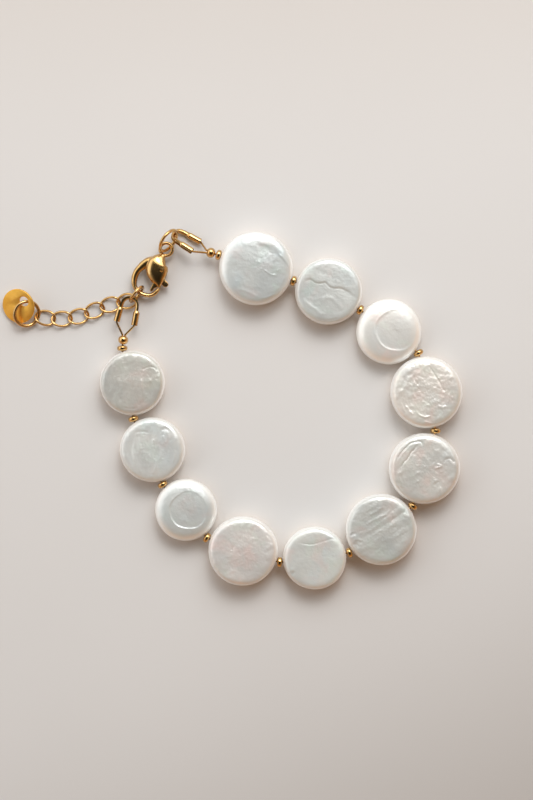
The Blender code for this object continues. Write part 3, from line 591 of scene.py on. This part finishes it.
def nearLine(u, v, points):
    # distance to the line, side of it and share of its length
    row = smoothRow(points)
    best = np.full(u.shape, 9.0)
    side = np.zeros(u.shape)
    share = np.zeros(u.shape)
    spans = len(row) - 1
    for index in range(spans):
        start, way = row[index], row[index + 1] - row[index]
        t = np.clip(((u - start[0]) * way[0] + (v - start[1]) * way[1]) / (way @ way), 0, 1)
        du, dv = u - start[0] - t * way[0], v - start[1] - t * way[1]
        away = np.hypot(du, dv)
        nearer = away < best
        best = np.where(nearer, away, best)
        side = np.where(nearer, np.sign(way[0] * dv - way[1] * du), side)
        share = np.where(nearer, (index + t) / spans, share)
    return best, side, share


def softEdge(value):
    value = np.clip(value, 0, 1)
    return value * value * (3 - 2 * value)


def pearlRelief(u, v, look, radius):
    # height of the skin over a plain coin, in millimetres
    away = np.hypot(u, v)
    rise = look["dome"] * (np.cos(np.clip(away, 0, 1) * math.pi / 2)
                           - pearlShape["domeBase"])
    seed = look["seed"]
    waves, grains = pearlShape["waveScale"], pearlShape["grainScale"]
    ends = pearlShape["markEnds"]
    fold, foldTurn, foldCount = look.get("folds", (0.0, 0.0, 1.0))
    foldLong, foldWide = pearlShape["foldScale"]
    turn = math.radians(foldTurn)
    along = u * math.cos(turn) + v * math.sin(turn)
    across = v * math.cos(turn) - u * math.sin(turn)
    for index in range(len(u)):
        spot = Vector((u[index] * waves + seed, v[index] * waves, seed))
        rise[index] += look["wave"] * noise.noise(spot)
        spot = Vector((u[index] * grains, v[index] * grains + seed, seed))
        rise[index] += look["grain"] * noise.fractal(spot, 0.6, 2.1, 3)
        if fold:
            spot = Vector((along[index] * foldLong + seed,
                           across[index] * foldCount * foldWide, seed))
            rise[index] += fold * noise.fractal(spot, 0.9, 2.0, 3)
    for kind, height, width, points in look.get("marks", ()):
        height *= look["relief"]
        off, side, share = nearLine(u, v, points)
        clear = softEdge(share / ends) * softEdge((1 - share) / ends)
        reach = width * pearlShape["markSpread"] * mm / radius
        if kind == "step":
            near = np.exp(-(off / pearlShape["stepReach"]) ** 2)
            rise += height * clear * near * np.tanh(side * off / reach) * 0.5
        else:
            height = height if kind == "ridge" else -height
            rise += height * clear * np.exp(-(off / reach) ** 2)
    for ringU, ringV, ringRadius, height, drop, width, clearest in look.get("rings", ()):
        bearing = np.arctan2(v - ringV, u - ringU)
        slow, quick = pearlShape["ringWobble"]
        wobble = 1 + slow * np.sin(3 * bearing + seed) + quick * np.sin(5 * bearing)
        off = np.hypot(u - ringU, v - ringV) - ringRadius * wobble
        reach = width * mm / radius
        least, more = pearlShape["ringClear"]
        clear = least + more * np.cos(bearing - math.radians(clearest))
        rise += height * clear * np.exp(-(off / reach) ** 2)
        rise -= drop * clear * (1 - np.tanh(off / reach)) / 2
    for bumpU, bumpV, width, height in look.get("bumps", ()):
        away2 = (u - bumpU) ** 2 + (v - bumpV) ** 2
        rise += look["relief"] * height * np.exp(-away2 / width ** 2)
    return rise


def makePearl(number):
    node = "pearl_{:02d}".format(number)
    look = pearlLooks[node]
    low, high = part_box(node)
    middle = middleOf(node)
    corners = cornersOf(node)
    radius = np.hypot(corners[:, 0] - middle.x, corners[:, 1] - middle.y).max()
    half = (high[2] - low[2]) / 2
    power = look["edge"]
    face = [pearlShape["faceShare"] * step / pearlShape["faceSteps"]
            for step in range(pearlShape["faceSteps"])]
    back = [pearlShape["faceShare"] * step / pearlShape["backSteps"]
            for step in range(pearlShape["backSteps"])]
    rim = [pearlShape["faceShare"] + (1 - pearlShape["faceShare"])
           * math.sin(math.pi / 2 * step / pearlShape["rimSteps"])
           for step in range(pearlShape["rimSteps"] + 1)]
    levels = [(share, 1) for share in face + rim]
    levels += [(share, -1) for share in reversed(back + rim[:-1])]
    line = [(radius * share, 0, half * up * math.sqrt(max(0.0, 1 - share ** power)))
            for share, up in levels]
    work = spinLine(line, pearlShape["turns"], (0, 0, 1))
    body = looseObject(node, work)
    mesh = body.data
    spots = np.empty(len(mesh.vertices) * 3)
    mesh.vertices.foreach_get("co", spots)
    spots = spots.reshape(-1, 3)
    u, v = spots[:, 0] / radius, spots[:, 1] / radius
    away = np.hypot(u, v)
    bearing = np.arctan2(v, u)
    shoulderTurn, gentler = look.get("shoulder", (0.0, 0.0))
    above = spots[:, 2] > 0
    facing = np.clip(np.cos(bearing[above] - math.radians(shoulderTurn)), 0, 1)
    bend = power * (1 - gentler * facing)
    spots[above, 2] = half * np.sqrt(np.maximum(0, 1 - away[above] ** bend))
    top = above & (away < 0.99)
    fade = softEdge((pearlShape["flatEdge"] - away[top]) / pearlShape["flatReach"])
    spots[top, 2] += pearlRelief(u[top], v[top], look, radius) * fade * mm
    swell = 1 + pearlShape["uneven"] * (np.sin(2 * bearing + look["seed"])
                                        + 0.7 * np.sin(3 * bearing + 2 * look["seed"])
                                        + 0.4 * np.sin(5 * bearing + 3 * look["seed"]) - 0.6)
    spots[:, :2] *= swell[:, None]
    spots += np.array(middle)
    mesh.vertices.foreach_set("co", spots.ravel())
    before = middleOf("spacer_{:02d}".format(number))
    after = middleOf("spacer_{:02d}".format(number + 1))
    drill = rodOf(pearlShape["hole"] / 2, (after - before).length, pearlShape["holeSides"])
    place = (after - before).to_track_quat("Z", "Y").to_matrix().to_4x4()
    place.translation = (before + after) / 2
    bmesh.ops.transform(drill, matrix=place, verts=drill.verts)
    mesh = cutAway(body, looseObject("drill", drill))
    material = nacreFinish("nacre{}".format(number), look["seed"], look["warmth"], look["base"],
                           high[2] / mm)
    finishPiece("coinPearl{}".format(number), mesh, material, node)
    mesh.set_sharp_from_angle(angle=sharpAngle)


for number in range(1, 12):
    makePearl(number)
print("pearls made")


# gold beads on the string

beadLook = {
    "spacerHole": 0.62 * mm,
    "crimpHole": 0.95 * mm,
    "spacerRoundness": 3.0,   # 2 is a ball, higher is more of a barrel
    "crimpRoundness": 2.1,
    "turns": 40,
    "steps": 16,
    "room": 0.06 * mm,     # the pearls are a little rounder than their solids
    "bore": 0.02 * mm,     # how far the hole's wall lies inside its rim
    "boreShare": 0.97,
}


def makeBead(name, node, hint, hole, power):
    place = frameOf(node, hint)
    inverse = place.inverted()
    local = [inverse @ Vector(corner) for corner in cornersOf(node)]
    half = max(spot.x for spot in local) - beadLook["room"]
    radius = max(math.hypot(spot.y, spot.z) for spot in local)
    mouth = hole / 2 / radius
    share = (1 - mouth ** power) ** (1 / power)  # where the round outline meets the hole
    line = []
    for step in range(beadLook["steps"] + 1):
        angle = math.pi * step / beadLook["steps"]
        along = -math.cos(angle) * share
        line.append((along * half / share, radius * (1 - abs(along) ** power) ** (1 / power), 0))
    for end in (half, -half):
        line.append((end * beadLook["boreShare"], hole / 2 - beadLook["bore"], 0))
    work = spinLine(line, beadLook["turns"], (1, 0, 0), True)
    bmesh.ops.transform(work, matrix=place, verts=work.verts)
    finishMesh(name, work, beadGold, node)


stringOrder = ["crimp_bead_1"] + ["spacer_{:02d}".format(k) for k in range(1, 13)]
stringOrder.append("crimp_bead_2")
for before, node, after in zip(stringOrder, stringOrder[1:], stringOrder[2:]):
    hint = (middleOf(after) - middleOf(before)).normalized()
    makeBead("goldBead" + node[-2:], node, hint, beadLook["spacerHole"],
             beadLook["spacerRoundness"])
for name, node, other in (("crimpCover1", "crimp_bead_1", "spacer_01"),
                          ("crimpCover2", "crimp_bead_2", "spacer_12")):
    hint = (middleOf(other) - middleOf(node)).normalized()
    makeBead(name, node, hint, beadLook["crimpHole"], beadLook["crimpRoundness"])
print("gold beads made")


# round rings and chain links

ringLook = {
    "eye_ring": {"name": "claspEyeRing", "wire": 0.58 * mm, "diameter": 4.78 * mm},
    "hook_ring": {"name": "claspHookRing", "wire": 0.54 * mm, "diameter": 3.8 * mm},
    "tag_ring": {"name": "tagJumpRing", "wire": 0.62 * mm, "diameter": 5.0 * mm},
    "turns": 72,
    "sides": 16,
}


def makeRing(node):
    look = ringLook[node]
    place = frameOf(node)
    work = torusOf((look["diameter"] - look["wire"]) / 2, look["wire"], ringLook["turns"],
                   ringLook["sides"])
    bmesh.ops.transform(work, matrix=place, verts=work.verts)
    finishMesh(look["name"], work, polishedGold, node)


for node in ("eye_ring", "hook_ring", "tag_ring"):
    makeRing(node)

linkLook = {
    "length": 3.94 * mm,
    "width": 2.95 * mm,
    "wire": 0.43 * mm,
    "twist": 0.36 * mm,
    "turns": 72,
    "sides": 12,
}


def makeLink(number):
    node = "chain_link_{}".format(number)
    place = frameOf(node)
    radius = linkLook["width"]
    longHalf = (linkLook["length"] - linkLook["wire"]) / 2
    wideHalf = (linkLook["width"] - linkLook["wire"]) / 2
    work = torusOf(radius, linkLook["wire"], linkLook["turns"], linkLook["sides"])
    for vert in work.verts:
        angle = math.atan2(vert.co.y, vert.co.x)
        out = math.hypot(vert.co.x, vert.co.y) - radius
        normal = Vector((math.cos(angle) * wideHalf, math.sin(angle) * longHalf, 0)).normalized()
        spot = Vector((longHalf * math.cos(angle), wideHalf * math.sin(angle),
                       linkLook["twist"] * math.sin(2 * angle)))
        vert.co = spot + normal * out + Vector((0, 0, vert.co.z))
    bmesh.ops.transform(work, matrix=place, verts=work.verts)
    finishMesh("curbLink{}".format(number), work, polishedGold, node)


for number in range(1, 7):
    makeLink(number)
print("rings and links made")


# wire guards: two seamed tubes joined by a bow that is an open channel

guardLook = {
    "tubeEnd": 4.0 * mm,
    "tubeStart": 1.85 * mm,
    "tubeRadius": 0.57 * mm,
    "channelRadius": 0.41 * mm,
    "tubeReach": 168.0,
    "channelReach": 118.0,
    "halfWidth": 1.58 * mm,
    "bowRadius": 1.4 * mm,
    "bowMiddle": 0.74 * mm,
    "sheet": 0.09 * mm,
    "lip": 0.05 * mm,
    "flareLength": 0.45 * mm,
    "steps": 24,
    "sides": 28,
}


def guardLine():
    # middle line from one tube's end round the bow to the other, with the share of tube in it
    flare = (guardLook["halfWidth"] - guardLook["bowRadius"]) / guardLook["tubeEnd"]
    row = []
    steps = guardLook["steps"]
    for step in range(steps + 1):
        x = guardLook["tubeEnd"] - (guardLook["tubeEnd"] - guardLook["bowMiddle"]) * step / steps
        tube = softEdge((x - guardLook["tubeStart"]) / guardLook["flareLength"] + 1.0)
        row.append((x, guardLook["bowRadius"] + flare * x, float(tube)))
    arm = row[:]
    for step in range(1, steps):
        angle = math.pi / 2 + math.pi * step / steps
        row.append((guardLook["bowMiddle"] + guardLook["bowRadius"] * math.cos(angle),
                    guardLook["bowRadius"] * math.sin(angle), 0.0))
    return row + [(x, -y, tube) for x, y, tube in reversed(arm)]


def makeGuard(name, node, crimp):
    hint = (middleOf(crimp) - middleOf(node)).normalized()
    place = frameOf(node, hint)
    inverse = place.inverted()
    local = [inverse @ Vector(corner) for corner in cornersOf(node)]
    wide = max(local, key=lambda spot: abs(spot.y))
    if max(abs(spot.z) for spot in local) > abs(wide.y):
        place = place @ Matrix.Rotation(math.pi / 2, 4, "X")
        inverse = place.inverted()
        local = [inverse @ Vector(corner) for corner in cornersOf(node)]
    tubeEnd = max(spot.x for spot in local)
    place = place @ Matrix.Translation((tubeEnd - guardLook["tubeEnd"], 0, 0))
    row = guardLine()
    work = bmesh.new()
    bmesh.ops.create_grid(work, x_segments=len(row) - 1, y_segments=guardLook["sides"], size=0.5)
    for vert in work.verts:
        index = round((vert.co.x + 0.5) * (len(row) - 1))
        share = vert.co.y * 2
        x, y, tube = row[index]
        inward = sidewaysOf(row, index)
        radius = guardLook["channelRadius"] + tube * (guardLook["tubeRadius"]
                                                      - guardLook["channelRadius"])
        reach = guardLook["channelReach"] + tube * (guardLook["tubeReach"]
                                                    - guardLook["channelReach"])
        angle = math.radians(reach) * share
        radius += guardLook["lip"] * (1 - tube) * abs(share) ** 6
        vert.co = (Vector((x, y, 0)) + inward * radius * math.cos(angle)
                   + Vector((0, 0, radius * math.sin(angle))))
    bmesh.ops.recalc_face_normals(work, faces=work.faces)
    bmesh.ops.solidify(work, geom=work.faces[:], thickness=guardLook["sheet"])
    bmesh.ops.transform(work, matrix=place, verts=work.verts)
    piece = finishMesh(name, work, polishedGold, node)
    piece.data.set_sharp_from_angle(angle=sharpAngle)


makeGuard("wireGuard1", "wire_guard_1", "crimp_bead_1")
makeGuard("wireGuard2", "wire_guard_2", "crimp_bead_2")
nodes["beading_wire"].data.materials.clear()
nodes["beading_wire"].data.materials.append(drawnGold)
nodes["beading_wire"].data.shade_smooth()
print("wire guards made")


# lobster clasp; x from the eye to the hook, y to the thumb side, in millimetres

claspLook = {
    "turn": 247.0,
    "pivot": (3.9, 0.6),
    "bulb": [(1.2, -0.2, 0.38, 0.4), (1.55, -0.28, 0.64, 0.6), (2.0, -0.4, 1.05, 0.88),
             (2.5, -0.5, 1.42, 1.1), (3.1, -0.52, 1.78, 1.25), (3.8, -0.36, 1.93, 1.3),
             (4.4, -0.12, 1.95, 1.3), (5.0, 0.2, 1.76, 1.26), (5.6, 0.56, 1.4, 1.14),
             (6.1, 0.92, 0.94, 1.0), (6.5, 1.14, 0.5, 0.88), (6.84, 1.32, 0.27, 0.72)],
    "hook": [(2.3, -1.0, 0.5, 0.55), (2.9, -1.75, 0.66, 0.62), (3.6, -2.35, 0.76, 0.64),
             (4.4, -2.8, 0.75, 0.64), (5.1, -3.12, 0.66, 0.64), (5.8, -3.34, 0.61, 0.64),
             (6.7, -3.35, 0.59, 0.63), (7.6, -3.12, 0.52, 0.61), (8.35, -2.65, 0.44, 0.59),
             (8.85, -1.9, 0.42, 0.57), (9.03, -1.1, 0.4, 0.56), (8.99, -0.35, 0.39, 0.54),
             (8.77, 0.35, 0.38, 0.52), (8.32, 0.87, 0.38, 0.5), (7.75, 1.18, 0.38, 0.48),
             (7.06, 1.34, 0.3, 0.4)],
    "squareness": 2.7,
    "eye": (0.2, -0.15),
    "eyeHole": 1.6,
    "eyeRim": 0.6,
    "eyeHeight": 0.72,
    "leverHalf": 0.4,
    "slotHalf": 0.52,
    "slotMargin": 0.2,
    "openAngle": 16.5,
    "pinHole": 0.65,
    "pin": 0.6,
    "pinHalf": 1.06,
    "leverBevel": 0.13,
    "pinBevel": 0.1,
    "bulbSides": 48,
    "hookSides": 24,
    "eyeTurns": 48,
    "eyeSides": 16,
    "slotSides": 8,
    "pinSides": 28,
    "voxel": 0.055,
    "smoothing": 6,
    "softness": 0.5,
}
leverOutline = [(3.75, -0.12), (4.3, -0.14), (5.2, -0.08), (6.2, 0.04), (7.1, 0.04), (7.8, 0.0),
                (8.05, 0.2), (7.9, 0.46), (7.3, 0.62), (6.9, 1.05), (6.5, 1.2), (6.2, 1.5),
                (6.38, 1.95), (6.38, 2.3), (6.15, 2.6), (5.8, 2.66), (5.5, 2.42), (5.3, 1.95),
                (4.9, 1.6), (4.15, 1.4), (3.5, 1.22), (3.2, 0.8), (3.22, 0.25)]


def claspFrame():
    joint = frame["joints"][0]
    turned = Matrix.Rotation(math.radians(claspLook["turn"]), 4, "Z")
    pivot = Vector((*claspLook["pivot"], 0)) * mm
    place = turned @ Matrix.Translation(-pivot)
    place.translation += Vector(joint["pos_m"])
    return place @ Matrix.Diagonal((mm, mm, mm, 1))


def ovalTube(stations, sides, squareness=2.0):
    # a tube of oval sections through a row of stations, with closed ends
    row = smoothRow(stations)
    count = len(row)
    line = [(0, 0, 0)] + [(index, 1, 0) for index in range(count)] + [(count - 1, 0, 0)]
    work = spinLine(line, sides)
    for vert in work.verts:
        index = min(max(round(vert.co.x), 0), count - 1)
        x, y, halfWidth, halfHeight = row[index]
        side = sidewaysOf(row, index)
        reach = math.hypot(vert.co.y, vert.co.z)
        if reach > 0.5:
            power = abs(vert.co.y) ** squareness + abs(vert.co.z) ** squareness
            reach = power ** (-1 / squareness)
        vert.co = (Vector((x, y, 0)) + side * halfWidth * vert.co.y * reach
                   + Vector((0, 0, halfHeight * vert.co.z * reach)))
    bmesh.ops.recalc_face_normals(work, faces=work.faces)
    return work


def slotBody():
    pivot = Vector(claspLook["pivot"])
    work = bmesh.new()
    for opened in (0.0, claspLook["openAngle"] / 2, claspLook["openAngle"]):
        turn = Matrix.Rotation(-math.radians(opened), 2)
        for corner in leverOutline:
            spot = pivot + turn @ (Vector(corner) - pivot)
            for step in range(claspLook["slotSides"]):
                angle = math.tau * step / claspLook["slotSides"]
                for level in (-claspLook["slotHalf"], claspLook["slotHalf"]):
                    work.verts.new((spot.x + claspLook["slotMargin"] * math.cos(angle),
                                    spot.y + claspLook["slotMargin"] * math.sin(angle), level))
    hull = bmesh.ops.convex_hull(work, input=work.verts)
    bmesh.ops.delete(work, geom=hull["geom_interior"], context="VERTS")
    return work


def pinBody(radius, half):
    work = rodOf(radius, half * 2, claspLook["pinSides"])
    bmesh.ops.translate(work, verts=work.verts, vec=(*claspLook["pivot"], 0))
    return work


def roundRims(work, width):
    rims = [edge for edge in work.edges
            if abs(edge.verts[0].co.z - edge.verts[1].co.z) < weld]
    bmesh.ops.bevel(work, geom=rims, offset=width, offset_type="OFFSET", affect="EDGES",
                    segments=4, profile=0.5, material=-1)


def makeClasp():
    place = claspFrame()
    bulb = ovalTube(claspLook["bulb"], claspLook["bulbSides"], claspLook["squareness"])
    mesh = cutAway(looseObject("bulb", bulb), looseObject("slot", slotBody()))
    work = bmesh.new()
    work.from_mesh(mesh)
    for part in (ovalTube(claspLook["hook"], claspLook["hookSides"]), eyeRim()):
        helper = bpy.data.meshes.new("part")
        part.to_mesh(helper)
        part.free()
        work.from_mesh(helper)
    joined = looseObject("joined", work)
    remesh = joined.modifiers.new("skin", "REMESH")
    remesh.mode = "VOXEL"
    remesh.voxel_size = claspLook["voxel"]
    soften = joined.modifiers.new("soften", "SMOOTH")
    soften.factor = claspLook["softness"]
    soften.iterations = claspLook["smoothing"]
    mesh = applyModifiers(joined)
    skinned = addObject("skinned", mesh)
    bore = pinBody(claspLook["pinHole"] / 2, claspLook["pinHalf"] * 2)
    mesh = cutAway(skinned, looseObject("bore", bore))
    mesh.transform(place)
    finishPiece("lobsterClasp", mesh, polishedGold, "clasp_body")
    mesh.set_sharp_from_angle(angle=sharpAngle)

    work = bmesh.new()
    outline = smoothRow(leverOutline, True)
    face = work.faces.new([work.verts.new((x, y, -claspLook["leverHalf"])) for x, y in outline])
    grown = bmesh.ops.extrude_face_region(work, geom=[face])
    top = [item for item in grown["geom"] if isinstance(item, bmesh.types.BMVert)]
    bmesh.ops.translate(work, verts=top, vec=(0, 0, claspLook["leverHalf"] * 2))
    bmesh.ops.recalc_face_normals(work, faces=work.faces)
    roundRims(work, claspLook["leverBevel"])
    lever = looseObject("lever", work)
    mesh = cutAway(lever, looseObject("bore", pinBody(claspLook["pinHole"] / 2, 2.0)))
    mesh.transform(place)
    finishPiece("claspLever", mesh, polishedGold, "clasp_lever", "clasp_lever")
    mesh.set_sharp_from_angle(angle=sharpAngle)

    work = pinBody(claspLook["pin"] / 2, claspLook["pinHalf"])
    roundRims(work, claspLook["pinBevel"])
    bmesh.ops.transform(work, matrix=place, verts=work.verts)
    finishMesh("claspRivet", work, polishedGold, "clasp_pin")


def eyeRim():
    rim = (claspLook["eyeHole"] + claspLook["eyeRim"]) / 2
    work = torusOf(rim, claspLook["eyeRim"], claspLook["eyeTurns"], claspLook["eyeSides"],
                   claspLook["eyeHeight"] / claspLook["eyeRim"])
    bmesh.ops.translate(work, verts=work.verts, vec=(*claspLook["eye"], 0))
    bmesh.ops.recalc_face_normals(work, faces=work.faces)
    return work


makeClasp()
print("clasp made")


# round tag at the chain's end

tagLook = {
    "diameter": 6.1 * mm,
    "thickness": 0.4 * mm,
    "hole": 1.8 * mm,
    "edge": 0.09 * mm,
    "edgeSteps": 3,
    "sides": 96,
    "holeSides": 48,
    "sharp": 40.0,
    "innerShare": 0.42,    # corners of the solid nearer than this belong to the hole
}


def makeTag():
    place = frameOf("end_tag")
    place.translation = middleOf("end_tag")
    inverse = place.inverted()
    local = [inverse @ Vector(corner) for corner in cornersOf("end_tag")]
    inner = tagLook["diameter"] * tagLook["innerShare"]
    rimmed = [spot for spot in local if math.hypot(spot.x, spot.y) < inner]
    hole = sum(rimmed, Vector()) / len(rimmed)
    disc = rodOf(tagLook["diameter"] / 2, tagLook["thickness"], tagLook["sides"])
    drill = rodOf(tagLook["hole"] / 2, tagLook["thickness"] * 4, tagLook["holeSides"])
    bmesh.ops.translate(drill, verts=drill.verts, vec=(hole.x, hole.y, 0))
    mesh = cutAway(looseObject("disc", disc), looseObject("drill", drill))
    pierced = addObject("pierced", mesh)
    edge = pierced.modifiers.new("edge", "BEVEL")
    edge.width = tagLook["edge"]
    edge.segments = tagLook["edgeSteps"]
    edge.limit_method = "ANGLE"
    mesh = applyModifiers(pierced)
    mesh.transform(place)
    finishPiece("roundTag", mesh, brushedGold, "end_tag")
    mesh.set_sharp_from_angle(angle=math.radians(tagLook["sharp"]))


makeTag()
print("tag made")


# floor, light and camera

floorLook = {
    "color": (0.71, 0.70, 0.69),
    "deep": (0.68, 0.67, 0.66),
    # painted shade: tints that darken the floor towards the lower right and the top of the
    # picture, where the light falls off, from and to in millimetres
    "near": ((0.71, 0.68, 0.655), 25.0, 105.0),
    "paintedShadeWay": (0.4, 0.9),      # east and south, the way of the painted shade
    "far": ((0.86, 0.82, 0.78), 35.0, 105.0),
    "size": 4.0,
    "drop": 0.00002,
}


def makeFloor():
    work = bmesh.new()
    bmesh.ops.create_grid(work, x_segments=2, y_segments=2, size=floorLook["size"] / 2)
    floor = looseObject("tableTop", work)
    floor.data.transform(Matrix.Translation((0, 0, -floorLook["drop"])))
    finish = Finish("paleTable", Roughness=0.75)
    cloud = finish.noise(0.02, 3.0, 0.5)
    east = finish.node("ShaderNodeSeparateXYZ", None, {0: finish.place}, 0)
    north = finish.node("ShaderNodeSeparateXYZ", None, {0: finish.place}, 1)
    color = finish.blend(cloud, floorLook["color"], floorLook["deep"])
    eastPart, southPart = floorLook["paintedShadeWay"]
    # painted shade: the floor's colour darkens towards the lower right and the top
    near = east * eastPart - north * southPart
    for way, (tint, start, end) in ((near, floorLook["near"]), (north, floorLook["far"])):
        color = finish.multiply(color, finish.blend(finish.spread(way, start, end), white, tint))
    finish.feed(finish.shader, {"Base Color": color})
    floor.data.materials.append(finish.material)


# azimuth and elevation in degrees, distance and size in metres, watts, colour
lampLooks = {
    "window": (74.0, 48.0, 0.45, (0.5, 0.38), 1.2, (0.985, 0.99, 0.99)),
    "glint": (80.0, 50.0, 0.6, (0.2, 0.2), 0.75, (1.0, 0.985, 0.96)),
    "sideWindow": (152.0, 35.0, 0.55, (0.8, 0.42), 0.65, (0.985, 0.99, 0.99)),
}


def makeLight(name, azimuth, elevation, away, size, power, color):
    lamp = bpy.data.lights.new(name, "AREA")
    lamp.shape = "ELLIPSE"
    lamp.size, lamp.size_y = size
    lamp.energy = power
    lamp.color = color
    turn, lift = math.radians(azimuth), math.radians(elevation)
    spot = Vector((math.cos(turn) * math.cos(lift), math.sin(turn) * math.cos(lift),
                   math.sin(lift))) * away
    made = addObject(name, lamp)
    made.location = spot
    made.rotation_euler = (-spot).to_track_quat("-Z", "Y").to_euler()


skyLook = {
    "turn": 115.0,
    "change": (-0.5, 0.4),    # from the south's colours to the north's
    "north": [(0.0, (0.55, 0.50, 0.44)), (0.3, (0.92, 0.90, 0.88)), (0.6, (0.92, 0.92, 0.92)),
              (0.93, (0.03, 0.03, 0.03))],
    "south": [(0.0, (0.80, 0.38, 0.13)), (0.3, (0.62, 0.31, 0.12)), (0.6, (0.27, 0.18, 0.10)),
              (0.9, (0.02, 0.02, 0.02))],
}


def makeSky():
    world = bpy.data.worlds.new("room")
    world.use_nodes = True
    bpy.context.scene.world = world
    tree = world.node_tree
    back = tree.nodes["Background"]
    way = tree.nodes.new("ShaderNodeTexCoord")
    split = tree.nodes.new("ShaderNodeSeparateXYZ")
    tree.links.new(way.outputs["Generated"], split.inputs[0])
    sides = []
    for stops in (skyLook["south"], skyLook["north"]):
        ramp = tree.nodes.new("ShaderNodeValToRGB")
        tree.links.new(split.outputs["Z"], ramp.inputs[0])
        while len(ramp.color_ramp.elements) < len(stops):
            ramp.color_ramp.elements.new(0.5)
        for element, (position, color) in zip(ramp.color_ramp.elements, stops):
            element.position = position
            element.color = (*color, 1.0)
        sides.append(ramp.outputs[0])
    toward = tree.nodes.new("ShaderNodeVectorMath")
    toward.operation = "DOT_PRODUCT"
    turn = math.radians(skyLook["turn"])
    toward.inputs[1].default_value = (math.cos(turn), math.sin(turn), 0)
    tree.links.new(way.outputs["Generated"], toward.inputs[0])
    share = tree.nodes.new("ShaderNodeMapRange")
    share.interpolation_type = "SMOOTHSTEP"
    share.inputs["From Min"].default_value = skyLook["change"][0]
    share.inputs["From Max"].default_value = skyLook["change"][1]
    tree.links.new(toward.outputs["Value"], share.inputs["Value"])
    mix = tree.nodes.new("ShaderNodeMix")
    mix.data_type = "RGBA"
    tree.links.new(share.outputs[0], mix.inputs[0])
    tree.links.new(sides[0], mix.inputs[6])
    tree.links.new(sides[1], mix.inputs[7])
    tree.links.new(mix.outputs[2], back.inputs["Color"])


makeFloor()
makeSky()
for name, settings in lampLooks.items():
    makeLight(name, *settings)

cameraLook = {
    "aim": (0.00605, 0.00162, 0.0022),   # what the middle of the photograph shows
    "height": 0.45,
    "fieldHeight": 0.140,
}


def makeCamera():
    camera = bpy.data.cameras.new("camera")
    camera.sensor_fit = "AUTO"
    camera.sensor_width = 36.0
    camera.lens = camera.sensor_width * cameraLook["height"] / cameraLook["fieldHeight"]
    camera.clip_start = 0.01
    camera.clip_end = 20.0
    made = addObject("camera", camera)
    made.location = Vector(cameraLook["aim"]) + Vector((0, 0, cameraLook["height"]))
    bpy.context.scene.camera = made


makeCamera()
bpy.context.scene.view_settings.view_transform = "Standard"
print("room made")
